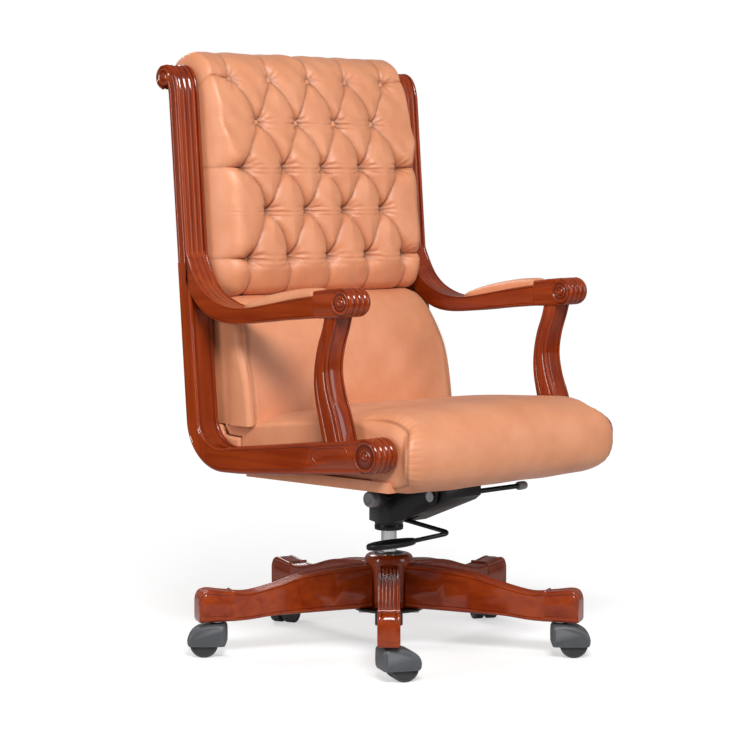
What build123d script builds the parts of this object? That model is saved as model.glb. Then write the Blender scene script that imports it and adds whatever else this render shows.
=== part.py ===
from build123d import *
import math
import os

# Swivel office chair with a wooden frame, a tufted back and a five-legged base.
# Millimetres, +Z up, the sitter faces -Y and the sitter's left is +X.
# The origin is on the floor, under the swivel axis.

# ------------------------------------------------------------------ driving dimensions

# base
LEG_COUNT = 5
FIRST_LEG_ANGLE = -136.0          # direction of leg 1 about +Z, from +X
LEG_WIDTH = 38.0
LEG_START = 33.0                  # where a leg's inner end meets the hub
LEG_END = 354.0
HUB_RADIUS = 32.0
HUB_CAP_RADIUS = 42.0
HUB_BOTTOM = 82.0
HUB_TOP = 178.0
PLATE_RADIUS = 62.5
PLATE_THICKNESS = 4.0
LEG_BOLT_REACH = 50.0             # from the swivel axis
LEG_BOLT_RADIUS = 4.0
CASTER_REACH = 318.0              # from the swivel axis to a caster stem
FOOT_BOTTOM = 72.0
FLOOR = 10.0                      # height of the floor in the drawings of everything but the casters

# casters
WHEEL_RADIUS = 25.0
WHEEL_INNER = 4.0                 # half the gap between the two wheels of a caster
WHEEL_OUTER = 22.0
CASTER_TRAIL = 22.0
AXLE_RADIUS = 3.0
STEM_RADIUS = 5.5
HOOD_TOP = 58.5
CASTER_TURNS = (-28.0, -46.0, 60.0, 200.0, 134.0)   # rest direction of each trail, about +Z

# gas lift
TUBE_RADIUS = 25.0
TUBE_WALL = 3.0
TUBE_BOTTOM = 48.0
CYLINDER_RADIUS = 14.0
CYLINDER_BORE = 11.0
CYLINDER_BOTTOM = 62.0
CYLINDER_TOP = 262.0
ROD_RADIUS = 4.0
BUTTON_TOP = 269.7

# tilt mechanism
HOUSING_HALF = 44.0
HOUSING_WALL = 3.5
NECK_RADIUS = 25.0
NECK_BOTTOM = 222.0
PIVOT_Y = -150.0
PIVOT_Z = 298.0
SHAFT_RADIUS = 6.0
KNOB_Y = -36.0
KNOB_Z = 286.0
LOCK_Y = -170.0
LOCK_Z = 300.0
ROD_LEVER_RADIUS = 4.0
HANDLE_X = -15.0                  # the height lever's turning axis lies in this plane
SEAT_PLATE_HALF = 54.0

# seat and back frame
FRAME_INNER = 255.0
FRAME_OUTER = 305.0
POST_INNER = 260.0
POST_OUTER = 300.0
BOARD_BOTTOM = 330.0
BOARD_TOP = 348.0
BOARD_REAR = 100.0
SEAT_HALF = 251.0
BACK_HALF = 252.0
LUMBAR_HALF = 249.0
RECLINE = 0.0764                  # rearward run of the back for each millimetre of height
STILE_DEPTH = 29.0
REAR_LINE_Y = 203.0               # rear edge of a stile at REAR_LINE_Z
REAR_LINE_Z = 440.0
PANEL_INSET = 2.0
PANEL_THICKNESS = 6.0
BACK_BOARD_THICKNESS = 12.0
SCROLL_Y = 255.0
SCROLL_Z = 1026.0
SCROLL_RADIUS = 21.0
TOP_RAIL_RADIUS = 16.0

# tufting: height of each row, then the places of its buttons to one side of the middle
BUTTON_RADIUS = 7.0
BUTTON_THICKNESS = 5.0
BUTTON_ROWS = (
    (1024.0, 209.0, (0.0, 97.0, 193.0)),
    (948.0, 191.0, (48.0, 146.0)),
    (866.0, 179.0, (0.0, 98.0, 196.0)),
    (790.0, 173.0, (48.0, 146.0)),
    (707.0, 164.0, (0.0, 99.0, 196.0)),
)

RUNNING = 0.05                    # radial clearance of every turning or sliding fit

# ------------------------------------------------------------------ helpers


def closed_outline(points, *edges):
    """Face from joined edges, or from a closed run of straight lines."""
    if edges:
        return make_face(list(edges))
    return make_face(Polyline(*points, close=True))


def across(face, x_low, x_high):
    """Extrude a face drawn as (y, z) between two x places."""
    return extrude(Plane.YZ.offset(x_low) * face, amount=x_high - x_low)


def upright(radius, z_low, z_high):
    """Cylinder about +Z through the origin."""
    return Pos(0, 0, z_low) * Cylinder(radius, z_high - z_low, align=(Align.CENTER, Align.CENTER, Align.MIN))


def crossbar(radius, y, z, x_low, x_high):
    """Cylinder along X."""
    turn = Pos(x_low, y, z) * Rot(0, 90, 0)
    return turn * Cylinder(radius, x_high - x_low, align=(Align.CENTER, Align.CENTER, Align.MIN))


def block(x_low, x_high, y_low, y_high, z_low, z_high):
    size = (x_high - x_low, y_high - y_low, z_high - z_low)
    return Pos(x_low, y_low, z_low) * Box(*size, align=(Align.MIN, Align.MIN, Align.MIN))


def rear_edge(z):
    """Rear edge of the stiles at a height on their straight stretch."""
    return REAR_LINE_Y + (z - REAR_LINE_Z) * RECLINE


def sweep_rod(radius, route, bends):
    """Round rod along straight runs joined by arcs."""
    path = FilletPolyline(*route, radius=bends)
    start = Plane(origin=path @ 0, z_dir=path % 0)
    return sweep(start * Circle(radius), path=path)


def save(name, shape, floor=FLOOR):
    """Write one node; floor is the height of the floor in its drawing."""
    shape = Pos(0, 0, -floor) * shape
    shape.label = name
    export_step(shape, os.path.join("parts", name + ".step"))


# ------------------------------------------------------------------ base


def leg_spots(reach):
    """Places at one distance from the swivel axis, one on each leg."""
    for number in range(LEG_COUNT):
        angle = FIRST_LEG_ANGLE + number * 360.0 / LEG_COUNT
        yield number, Rot(0, 0, angle) * Pos(reach, 0, 0)


def base_leg():
    """One leg along +X: high at the hub, waisted, with a raised foot."""
    top = Spline(
        (LEG_START, 160), (82, 158), (155, 149), (217, 132), (262, 122.5), (300, 125), (334, 130.5),
    )
    end = Spline((334, 130.5), (349, 125.5), (356, 110), (LEG_END, FOOT_BOTTOM))
    under = Polyline(
        (LEG_END, FOOT_BOTTOM), (296, FOOT_BOTTOM), (70, HUB_BOTTOM), (LEG_START, HUB_BOTTOM), (LEG_START, 160),
    )
    side = closed_outline(None, top, end, under)
    leg = extrude(Plane.XZ * side, amount=LEG_WIDTH / 2, both=True)
    leg -= Pos(CASTER_REACH, 0, 0) * upright(8.0, FOOT_BOTTOM - 1, FOOT_BOTTOM + 32)
    leg -= Pos(LEG_BOLT_REACH, 0, 0) * upright(LEG_BOLT_RADIUS, HUB_BOTTOM - 1, HUB_BOTTOM + 31)
    leg -= upright(HUB_RADIUS, HUB_BOTTOM - 5, HUB_TOP)
    return leg


def base_hub():
    body = upright(HUB_RADIUS, HUB_BOTTOM, HUB_TOP)
    cap = upright(HUB_CAP_RADIUS, 161.5, HUB_TOP)
    cap = fillet(cap.edges().filter_by(GeomType.CIRCLE), 7.0)
    return body + cap - upright(TUBE_RADIUS, HUB_BOTTOM - 1, HUB_TOP + 1)


def hub_base_plate():
    plate = upright(PLATE_RADIUS, HUB_BOTTOM - PLATE_THICKNESS, HUB_BOTTOM)
    plate -= upright(TUBE_RADIUS, HUB_BOTTOM - 10, HUB_BOTTOM + 1)
    for _, spot in leg_spots(LEG_BOLT_REACH):
        plate -= spot * upright(LEG_BOLT_RADIUS + 0.2, HUB_BOTTOM - 10, HUB_BOTTOM + 1)
    return plate


def leg_bolts():
    plate_bottom = HUB_BOTTOM - PLATE_THICKNESS
    head_height = 5.0
    head = extrude(RegularPolygon(7.0, 6), amount=head_height)
    bolt = Pos(0, 0, plate_bottom - head_height) * head
    bolt += upright(LEG_BOLT_RADIUS, plate_bottom - 1, HUB_BOTTOM + 30)
    return Compound([spot * bolt for _, spot in leg_spots(LEG_BOLT_REACH)])


def caster_sockets():
    sleeve = upright(8.0, FOOT_BOTTOM, FOOT_BOTTOM + 32) + upright(11.0, FOOT_BOTTOM - 1.2, FOOT_BOTTOM)
    sleeve -= upright(STEM_RADIUS + RUNNING, FOOT_BOTTOM - 3, FOOT_BOTTOM + 31)
    return Compound([spot * sleeve for _, spot in leg_spots(CASTER_REACH)])


def make_base():
    leg = base_leg()
    for number, turn in leg_spots(0):
        save(f"base_leg_{number + 1}", turn * leg)
    save("base_hub", base_hub())
    save("hub_base_plate", hub_base_plate())
    save("leg_bolts", leg_bolts())
    save("caster_sockets", caster_sockets())


# ------------------------------------------------------------------ casters
# Each caster is drawn with its stem on the Z axis and its wheels trailing along +X, standing on the floor.


def caster_hood():
    side = closed_outline(
        None,
        Polyline(
            (CASTER_TRAIL + 29, 24), (CASTER_TRAIL + 21, 14), (-8, 14), (-17, 24), (-17, 53), (-12, HOOD_TOP), (11, HOOD_TOP),
        ),
        Spline((11, HOOD_TOP), (33, 53), (46, 41.5), (CASTER_TRAIL + 29, 24)),
    )
    shell = extrude(Plane.XZ * side, amount=27.0, both=True)
    cavity_radius = WHEEL_RADIUS + 1.5
    for sign in (-1, 1):
        middle = sign * (WHEEL_INNER + WHEEL_OUTER) / 2
        depth = WHEEL_OUTER - WHEEL_INNER + 1.0
        cavity = Pos(CASTER_TRAIL, middle, WHEEL_RADIUS) * Rot(90, 0, 0) * Cylinder(cavity_radius, depth)
        shell -= cavity
    shell -= Pos(CASTER_TRAIL, 0, WHEEL_RADIUS) * Rot(90, 0, 0) * Cylinder(AXLE_RADIUS, 60)
    shell -= upright(STEM_RADIUS, 53, HOOD_TOP + 1)
    return shell


def caster_pins():
    """Swivel stem with its collar, and the wheels' axle, as two solids."""
    foot = FOOT_BOTTOM - FLOOR
    stem = upright(STEM_RADIUS, 53, foot + 28) + upright(10.0, HOOD_TOP, foot - 1.5)
    axle = Pos(CASTER_TRAIL, 0, WHEEL_RADIUS) * Rot(90, 0, 0) * Cylinder(AXLE_RADIUS, 53)
    return Compound([stem, axle])


def caster_wheel(sign):
    width = WHEEL_OUTER - WHEEL_INNER
    wheel = Cylinder(WHEEL_RADIUS, width)
    wheel = fillet(wheel.edges().filter_by(GeomType.CIRCLE), 3.0)
    wheel -= Pos(0, 0, width / 2) * Cylinder(16.0, 6.0)
    wheel += Cylinder(6.0, width)
    wheel -= Cylinder(AXLE_RADIUS + RUNNING, width + 2)
    middle = sign * (WHEEL_INNER + WHEEL_OUTER) / 2
    return Pos(CASTER_TRAIL, middle, WHEEL_RADIUS) * Rot(-90 * sign, 0, 0) * wheel


def make_casters():
    hood = caster_hood()
    pins = caster_pins()
    wheels = {"left": caster_wheel(1), "right": caster_wheel(-1)}
    for number in range(LEG_COUNT):
        angle = math.radians(FIRST_LEG_ANGLE + number * 360.0 / LEG_COUNT)
        stem_spot = Pos(CASTER_REACH * math.cos(angle), CASTER_REACH * math.sin(angle), 0)
        place = stem_spot * Rot(0, 0, CASTER_TURNS[number])
        save(f"caster_hood_{number + 1}", place * hood, floor=0)
        save(f"caster_pins_{number + 1}", place * pins, floor=0)
        for side, wheel in wheels.items():
            save(f"caster_wheel_{side}_{number + 1}", place * wheel, floor=0)


# ------------------------------------------------------------------ gas lift


def lift_outer_tube():
    """Open-topped tube fixed in the hub, with a floor that the piston rod stands on."""
    tube = upright(TUBE_RADIUS, TUBE_BOTTOM, HUB_TOP - 2)
    tube -= upright(TUBE_RADIUS - TUBE_WALL, TUBE_BOTTOM + 4, HUB_TOP)
    return tube - upright(ROD_RADIUS + RUNNING, TUBE_BOTTOM - 1, TUBE_BOTTOM + 5)


def lift_guide_bush():
    bush = upright(TUBE_RADIUS - TUBE_WALL, HUB_TOP - 62, HUB_TOP - 2)
    return bush - upright(CYLINDER_RADIUS + RUNNING, HUB_TOP - 63, HUB_TOP)


def lift_rod():
    """Piston rod with its thrust washer, its retaining clip and the piston."""
    floor_top = TUBE_BOTTOM + 4
    rod = upright(ROD_RADIUS, TUBE_BOTTOM - 3, 200)
    rod += upright(12.0, floor_top + RUNNING, floor_top + 4)
    rod += upright(7.5, TUBE_BOTTOM - 2, TUBE_BOTTOM - RUNNING)
    rod += upright(CYLINDER_BORE - RUNNING, 188, 200)
    return rod


def lift_cylinder():
    cylinder = upright(CYLINDER_RADIUS, CYLINDER_BOTTOM, CYLINDER_TOP)
    cylinder -= upright(CYLINDER_BORE, CYLINDER_BOTTOM + 12, CYLINDER_TOP - 12)
    cylinder -= upright(ROD_RADIUS + RUNNING, CYLINDER_BOTTOM - 1, CYLINDER_BOTTOM + 13)
    cylinder -= upright(4.0 + RUNNING, CYLINDER_TOP - 13, CYLINDER_TOP + 1)
    return cylinder


def valve_button():
    return upright(4.0, CYLINDER_TOP - 9, BUTTON_TOP)


def make_gas_lift():
    save("lift_outer_tube", lift_outer_tube())
    save("lift_guide_bush", lift_guide_bush())
    save("lift_rod", lift_rod())
    save("lift_cylinder", lift_cylinder())
    save("valve_button", valve_button())


# ------------------------------------------------------------------ tilt mechanism


def handle_axis_z(y):
    """Height of the height lever's turning axis above a y place."""
    return 244.0 + (y + 59.0) * 0.115


def tilt_housing():
    """Pressed steel box, open on top, with the socket that takes the gas lift."""
    outer = closed_outline([
        (34, 236), (-50, 240), (-62, 245), (-170, 287), (-182, 296), (-182, 312),
        (-150, 316), (-100, 311), (0, 290), (36, 282),
    ])
    wall = HOUSING_WALL
    inner = closed_outline([
        (34 - wall, 236 + wall), (-50, 240 + wall), (-60, 245 + wall), (-168, 287 + wall),
        (-182 + wall, 299), (-182 + wall, 340), (34 - wall, 340),
    ])
    half = HOUSING_HALF
    plan = make_face(Polyline(
        (-half, -200), (half, -200), (half, -22), (30, 12), (16, 34), (-16, 34), (-30, 12), (-half, -22), close=True,
    ))
    inner_plan = offset(plan, amount=-wall, kind=Kind.INTERSECTION)
    housing = across(outer, -half, half) & Pos(0, 0, 200) * extrude(plan, amount=160)
    housing -= across(inner, -half, half) & Pos(0, 0, 200) * extrude(inner_plan, amount=160)
    housing += upright(NECK_RADIUS, NECK_BOTTOM, CYLINDER_TOP)
    housing -= upright(CYLINDER_RADIUS, NECK_BOTTOM - 1, CYLINDER_TOP + 1)
    housing -= crossbar(SHAFT_RADIUS, PIVOT_Y, PIVOT_Z, -60, 60)
    housing -= crossbar(5.0 + RUNNING, KNOB_Y, KNOB_Z, -60, 0)
    housing -= crossbar(4.5 + RUNNING, LOCK_Y, LOCK_Z, 0, 60)
    lever_slot = block(HANDLE_X - 7, HANDLE_X + 7, -92, -29, 226, 256)
    return housing - lever_slot


def pivot_shaft():
    shaft = crossbar(SHAFT_RADIUS, PIVOT_Y, PIVOT_Z, -51, 51)
    for sign in (-1, 1):
        low, high = sorted((sign * 51, sign * 54))
        shaft += crossbar(9.0, PIVOT_Y, PIVOT_Z, low, high)
    return shaft


def tilt_spring():
    """Torsion coil wound round the pivot shaft."""
    coil_radius = 9.2
    wire_radius = 1.9
    path = Helix(pitch=8.0, height=64.0, radius=coil_radius)
    start = Plane(origin=path @ 0, z_dir=path % 0)
    coil = sweep(start * Circle(wire_radius), path=path)
    return Pos(-32, PIVOT_Y, PIVOT_Z) * Rot(0, 90, 0) * coil


def tension_knob():
    """Adjusting screw, collar and end cap, all on one axis along X."""
    wall_face = -HOUSING_HALF
    knob = crossbar(5.0, KNOB_Y, KNOB_Z, wall_face - 16, wall_face + 14)
    collar = crossbar(16.0, KNOB_Y, KNOB_Z, wall_face - 30, wall_face - 14)
    collar = chamfer(collar.edges().filter_by(GeomType.CIRCLE), 2.0)
    cap = crossbar(14.5, KNOB_Y, KNOB_Z, wall_face - 46, wall_face - 29)
    cap = fillet(cap.edges().filter_by(GeomType.CIRCLE).sort_by(Axis.X)[0], 4.0)
    return knob + collar + cap


def height_lever():
    """Bent rod with a finger over the valve button and a flat oval paddle."""
    front_y = -163.0
    crank_y = -36.0
    finger_z = BUTTON_TOP + 0.3 + ROD_LEVER_RADIUS
    route = [
        (0, 0, finger_z),
        (HANDLE_X, crank_y, finger_z),
        (HANDLE_X, crank_y, handle_axis_z(crank_y)),
        (HANDLE_X, front_y, handle_axis_z(front_y)),
        (-96, -150, 225),
    ]
    rod = sweep_rod(ROD_LEVER_RADIUS, route, [5.5, 5.5, 12.0])
    paddle = Pos(-145, -146, 219) * extrude(Ellipse(58, 20), amount=11)
    paddle = fillet(paddle.edges(), 4.5)
    return Compound([rod - paddle, paddle])


def lock_lever():
    """Straight pull rod with a small round grip."""
    rod = crossbar(4.5, LOCK_Y, LOCK_Z, 26, 160)
    grip = crossbar(6.5, LOCK_Y, LOCK_Z, 156, 177)
    grip = fillet(grip.edges().filter_by(GeomType.CIRCLE), 2.5)
    return rod + grip


def seat_plate():
    """Top plate of the mechanism, with an ear at each end of the pivot shaft."""
    top = block(-SEAT_PLATE_HALF, SEAT_PLATE_HALF, -172, 96, BOARD_BOTTOM - 4, BOARD_BOTTOM)
    ear_side = closed_outline([
        (PIVOT_Y - 14, PIVOT_Z), (PIVOT_Y + 14, PIVOT_Z), (PIVOT_Y + 30, BOARD_BOTTOM - 3),
        (PIVOT_Y - 20, BOARD_BOTTOM - 3),
    ]) + Pos(PIVOT_Y, PIVOT_Z) * Circle(14)
    for low in (-50, 46):
        ear = across(ear_side, low, low + 4) - crossbar(SHAFT_RADIUS + RUNNING, PIVOT_Y, PIVOT_Z, -60, 60)
        top += ear
    for spot in bolt_spots():
        top -= spot * upright(3.2, BOARD_BOTTOM - 6, BOARD_BOTTOM + 1)
    return top


def bolt_spots():
    for x in (-36, 36):
        for y in (-110, 0, 84):
            yield Pos(x, y, 0)


def seat_bolts():
    bolt = upright(6.0, BOARD_BOTTOM - 7, BOARD_BOTTOM - 4) + upright(3.0, BOARD_BOTTOM - 5, BOARD_BOTTOM + 16)
    return Compound([spot * bolt for spot in bolt_spots()])


def make_mechanism():
    save("tilt_housing", tilt_housing())
    save("pivot_shaft", pivot_shaft())
    save("tilt_spring", tilt_spring())
    save("tension_knob", tension_knob())
    save("height_lever", height_lever())
    save("lock_lever", lock_lever())
    save("seat_plate", seat_plate())
    save("seat_bolts", seat_bolts())


# ------------------------------------------------------------------ wooden frame


def rail_face():
    """Side rail with its round front knuckle and half of the bottom corner."""
    body = make_face(FilletPolyline(
        (-240, 366), (43, 341), (196, 339), (REAR_LINE_Y, REAR_LINE_Z), (172, 440), (166, 376), (-240, 423),
        radius=[2.0, 100.0, 90.0, 1.0, 1.0, 54.0, 2.0], close=True,
    ))
    knuckle = Pos(-239, 394.5) * Circle(30)
    return body + knuckle


def stile_face():
    """Back stile with its scroll at the top."""
    shoulder_z = 985.0
    body = closed_outline([
        (REAR_LINE_Y, REAR_LINE_Z), (rear_edge(shoulder_z), shoulder_z), (SCROLL_Y, SCROLL_Z - SCROLL_RADIUS),
        (SCROLL_Y, SCROLL_Z), (SCROLL_Y - 17, SCROLL_Z + 12), (SCROLL_Y - 30, SCROLL_Z - 12),
        (rear_edge(shoulder_z) - STILE_DEPTH, shoulder_z), (172, REAR_LINE_Z),
    ])
    return body + Pos(SCROLL_Y, SCROLL_Z) * Circle(SCROLL_RADIUS)


def arm_face():
    """Swept arm: it drops from the stile, runs forward and ends in a round knuckle."""
    top = Spline((200, 726), (170, 671), (137, 643), (92, 628), (40, 629), (-40, 643), (-120, 655))
    nose = Polyline((-120, 655), (-122, 663), (-181, 669.5), (-181, 620.5), (-150, 618))
    under = Spline((-150, 618), (-77, 614), (33, 602), (96, 599), (133, 605), (165, 623), (200, 660))
    tail = Line((200, 660), (200, 726))
    return make_face([top, nose, under, tail]) + Pos(-181, 645) * Circle(24.5)


def post_face():
    """Bowed arm post."""
    rear = Spline((-139, 630), (-134, 600), (-123, 566), (-118, 526), (-119, 494), (-128, 450), (-140, 400))
    front = Spline((-182, 400), (-170, 452), (-154, 490), (-146, 528), (-148, 556), (-158, 588), (-170, 630))
    ends = [Line((-140, 400), (-182, 400)), Line((-170, 630), (-139, 630))]
    return make_face([rear, front] + ends)


def make_side_frames():
    """Rail, stile, arm, post and pad of each side."""
    rail = across(rail_face(), FRAME_INNER, FRAME_OUTER)
    stile = across(stile_face(), FRAME_INNER, FRAME_OUTER)
    arm = across(arm_face(), FRAME_INNER, FRAME_OUTER) - stile - block(0, 400, 196, 300, 640, 760)
    post = across(post_face(), POST_INNER, POST_OUTER) - rail - arm
    pad_face = closed_outline(
        None,
        Spline((68, 625), (50, 641), (0, 657), (-60, 666), (-108, 667), (-118, 660)),
        Polyline((-118, 660), (-118, 640), (68, 615), (68, 625)),
    )
    pad = across(pad_face, FRAME_INNER + 3, FRAME_OUTER - 3) - arm
    pieces = {"side_rail": rail, "back_stile": stile, "armrest": arm, "arm_post": post, "arm_pad": pad}
    for name, piece in pieces.items():
        save(f"left_{name}", piece)
        save(f"right_{name}", mirror(piece, about=Plane.YZ))


def back_panel():
    """Upholstered rear skin, which follows the stiles and turns under at the seat."""
    top = 985.0
    bottom = 340.0
    outer_gap = PANEL_INSET
    inner_gap = PANEL_INSET + PANEL_THICKNESS
    outer = [(BOARD_REAR + 1, 341.5), (rear_edge(bottom) - outer_gap, bottom), (rear_edge(top) - outer_gap, top)]
    inner = [
        (rear_edge(top) - inner_gap, top),
        (rear_edge(bottom) - inner_gap, bottom + PANEL_THICKNESS),
        (BOARD_REAR + 1, 347.5),
    ]
    face = make_face([
        FilletPolyline(*outer, radius=90.0),
        Line(outer[-1], inner[0]),
        FilletPolyline(*inner, radius=84.0),
        Line(inner[-1], outer[0]),
    ])
    return across(face, -BACK_HALF, BACK_HALF)


def board_face():
    low, high = 425.0, 1003.0
    rear_gap = PANEL_INSET + PANEL_THICKNESS
    front_gap = rear_gap + BACK_BOARD_THICKNESS
    return closed_outline([
        (rear_edge(low) - front_gap, low), (rear_edge(low) - rear_gap, low),
        (rear_edge(high) - rear_gap, high), (rear_edge(high) - front_gap, high),
    ])


def cross_rails():
    """Top rail between the scrolls and the rail in the bottom corner."""
    top = crossbar(TOP_RAIL_RADIUS, SCROLL_Y, SCROLL_Z, -FRAME_INNER, FRAME_INNER)
    corner = block(-FRAME_INNER, FRAME_INNER, 120, 138, 361, 396)
    return Compound([top, corner])


def seat_board():
    board = block(-FRAME_INNER, FRAME_INNER, -245, BOARD_REAR, BOARD_BOTTOM, BOARD_TOP)
    for spot in bolt_spots():
        board -= spot * upright(3.0, BOARD_BOTTOM - 1, BOARD_BOTTOM + 16)
    return board


# ------------------------------------------------------------------ cushions


def button_places():
    for z, y, places in BUTTON_ROWS:
        for x in places:
            for sign in ((1,) if x == 0 else (-1, 1)):
                yield Pos(sign * x, y, z) * Rot(90 - math.degrees(math.atan(RECLINE)), 0, 0)


def back_cushion(board, panel, rails):
    """Tufted back: deep over the front, rolled back over the top rail."""
    face = make_face([
        Spline(
            (199, 648), (160, 656), (143, 690), (147, 780), (157, 870), (169, 950), (186, 1010),
            (214, 1055), (256, 1074), (290, 1060), (303, 1030), (292, 1002), (262, 990), (244, 987),
        ),
        Polyline((244, 987), (225, 1000), (199, 648)),
    ])
    cushion = across(face, -BACK_HALF, BACK_HALF) - board - panel - rails
    for place in button_places():
        cushion -= place * Cone(
            BUTTON_RADIUS + 1, BUTTON_RADIUS + 16, 50, align=(Align.CENTER, Align.CENTER, Align.MIN),
        )
    return cushion


def back_buttons():
    button = Cylinder(BUTTON_RADIUS, BUTTON_THICKNESS, align=(Align.CENTER, Align.CENTER, Align.MIN))
    button = fillet(button.edges().filter_by(GeomType.CIRCLE).sort_by(Axis.Z)[-1], 2.0)
    return Compound([place * button for place in button_places()])


def seat_cushion():
    """Seat pad with a waterfall front that wraps round the seat board."""
    face = make_face([
        Spline(
            (118, 428), (78, 435), (-20, 446), (-114, 455), (-200, 460), (-262, 453), (-298, 427),
            (-309, 390), (-302, 356), (-280, 334), (-247, 328),
        ),
        Polyline((-247, 328), (-245.5, BOARD_TOP), (118, BOARD_TOP), (118, 428)),
    ])
    return across(face, -SEAT_HALF, SEAT_HALF)


def lumbar_cushion(seat, board):
    face = make_face([
        Spline((197, 641), (165, 640), (130, 618), (106, 575), (90, 525), (80, 475), (78, 436)),
        Polyline((78, 436), (184, 420), (200, 560), (204, 641), (197, 641)),
    ])
    return across(face, -LUMBAR_HALF, LUMBAR_HALF) - seat - board


def make_seat_and_back():
    panel = back_panel()
    board = across(board_face(), -BACK_HALF, BACK_HALF) - panel
    rails = cross_rails()
    seat = seat_cushion()
    save("back_board", board)
    save("back_panel", panel)
    save("cross_rails", rails)
    save("seat_board", seat_board())
    save("seat_cushion", seat)
    save("lumbar_cushion", lumbar_cushion(seat, board))
    save("back_cushion", back_cushion(board, panel, rails))
    save("back_buttons", back_buttons())


os.makedirs("parts", exist_ok=True)
make_base()
make_casters()
make_gas_lift()
make_mechanism()
make_side_frames()
make_seat_and_back()
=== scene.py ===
import math

import bpy
import numpy as np
from mathutils import Matrix, Vector


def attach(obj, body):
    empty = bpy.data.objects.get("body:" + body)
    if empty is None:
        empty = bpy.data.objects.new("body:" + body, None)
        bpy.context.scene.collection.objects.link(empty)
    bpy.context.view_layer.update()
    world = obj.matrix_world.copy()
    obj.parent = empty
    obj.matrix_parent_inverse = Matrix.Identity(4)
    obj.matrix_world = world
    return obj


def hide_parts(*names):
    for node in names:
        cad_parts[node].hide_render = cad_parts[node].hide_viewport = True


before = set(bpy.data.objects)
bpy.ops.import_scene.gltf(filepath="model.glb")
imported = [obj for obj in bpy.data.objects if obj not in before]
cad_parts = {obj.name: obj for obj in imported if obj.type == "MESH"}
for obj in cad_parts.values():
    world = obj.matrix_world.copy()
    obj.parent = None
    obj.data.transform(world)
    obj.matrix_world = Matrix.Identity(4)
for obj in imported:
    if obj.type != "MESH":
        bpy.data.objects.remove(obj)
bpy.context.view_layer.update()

MM = 0.001
FLOOR = 10 * MM       # height of the floor in the drawings of everything but the casters

# ------------------------------------------------------------------ helpers


def deselect():
    if bpy.context.object and bpy.context.object.mode != "OBJECT":
        bpy.ops.object.mode_set(mode="OBJECT")
    bpy.ops.object.select_all(action="DESELECT")


def pick(piece):
    """Makes a piece the only selected and active one."""
    deselect()
    piece.select_set(True)
    bpy.context.view_layer.objects.active = piece


def edit(piece, select="SELECT"):
    pick(piece)
    bpy.ops.object.mode_set(mode="EDIT")
    bpy.ops.mesh.select_all(action=select)


def smooth(piece, degrees=35.0):
    pick(piece)
    bpy.ops.object.shade_smooth_by_angle(angle=math.radians(degrees))


def apply_modifiers(piece):
    pick(piece)
    for modifier in list(piece.modifiers):
        bpy.ops.object.modifier_apply(modifier=modifier.name)


def bevel(piece, width, segments=3, degrees=35.0):
    """Rounds the sharp edges of a finished shape."""
    modifier = piece.modifiers.new("rounded_edges", "BEVEL")
    modifier.width = width
    modifier.segments = segments
    modifier.limit_method = "ANGLE"
    modifier.angle_limit = math.radians(degrees)
    modifier.harden_normals = False
    apply_modifiers(piece)
    smooth(piece)


def join(pieces, name):
    pick(pieces[0])
    for piece in pieces:
        piece.select_set(True)
    bpy.ops.object.join()
    pieces[0].name = name
    return pieces[0]


def settle(piece):
    """Puts a primitive's place, turn and scale into its mesh."""
    pick(piece)
    bpy.ops.object.transform_apply(location=True, rotation=True, scale=True)
    return piece


def dress(piece, name, material, body, slot, *nodes):
    """Stands a finished piece on the floor, names it, gives it its finish and says what it rides on."""
    if not body.startswith(("caster", "wheel")):
        piece.data.transform(Matrix.Translation((0, 0, -FLOOR)))
    piece.name = name
    piece.data.name = name
    piece.data.materials.clear()
    piece.data.materials.append(material)
    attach(piece, body)
    if nodes:
        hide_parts(*nodes)
    return piece


def twin(piece, name):
    """Mirror copy of a piece on the other side of the chair, with its own mesh."""
    pick(piece)
    bpy.ops.object.duplicate()
    copy = bpy.context.object
    copy.name = name
    copy.data.transform(Matrix.Scale(-1, 4, Vector((1, 0, 0))))
    edit(copy)
    bpy.ops.mesh.flip_normals()
    deselect()
    return copy


def along(points, place):
    """Point on a smooth line through the given ones; place runs from 0 to 1."""
    spot = min(max(place, 0.0), 1.0) * (len(points) - 1)
    index = min(int(spot), len(points) - 2)
    t = spot - index
    row = [points[min(max(index + step, 0), len(points) - 1)] for step in (-1, 0, 1, 2)]
    return tuple(
        0.5 * (2 * b + (c - a) * t + (2 * a - 5 * b + 4 * c - d) * t * t + (3 * b - a - 3 * c + d) * t ** 3)
        for a, b, c, d in zip(*row)
    )


def in_mm(points):
    """Pairs drawn in millimetres, given in metres."""
    return [(first * MM, second * MM) for first, second in points]


# ------------------------------------------------------------------ material groups


def new_group(name, inputs, outputs):
    group = bpy.data.node_groups.new(name, "ShaderNodeTree")
    for label, kind, value in inputs:
        socket = group.interface.new_socket(name=label, in_out="INPUT", socket_type=kind)
        if value is not None:
            socket.default_value = value
    for label, kind in outputs:
        group.interface.new_socket(name=label, in_out="OUTPUT", socket_type=kind)
    return group, group.nodes.new("NodeGroupInput"), group.nodes.new("NodeGroupOutput")


def noise(tree, vector, scale, detail=4.0, roughness=0.55, distortion=0.0):
    node = tree.nodes.new("ShaderNodeTexNoise")
    tree.links.new(vector, node.inputs["Vector"])
    node.inputs["Detail"].default_value = detail
    node.inputs["Roughness"].default_value = roughness
    node.inputs["Distortion"].default_value = distortion
    if isinstance(scale, (int, float)):
        node.inputs["Scale"].default_value = scale
    else:
        tree.links.new(scale, node.inputs["Scale"])
    return node.outputs["Fac"]


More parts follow.
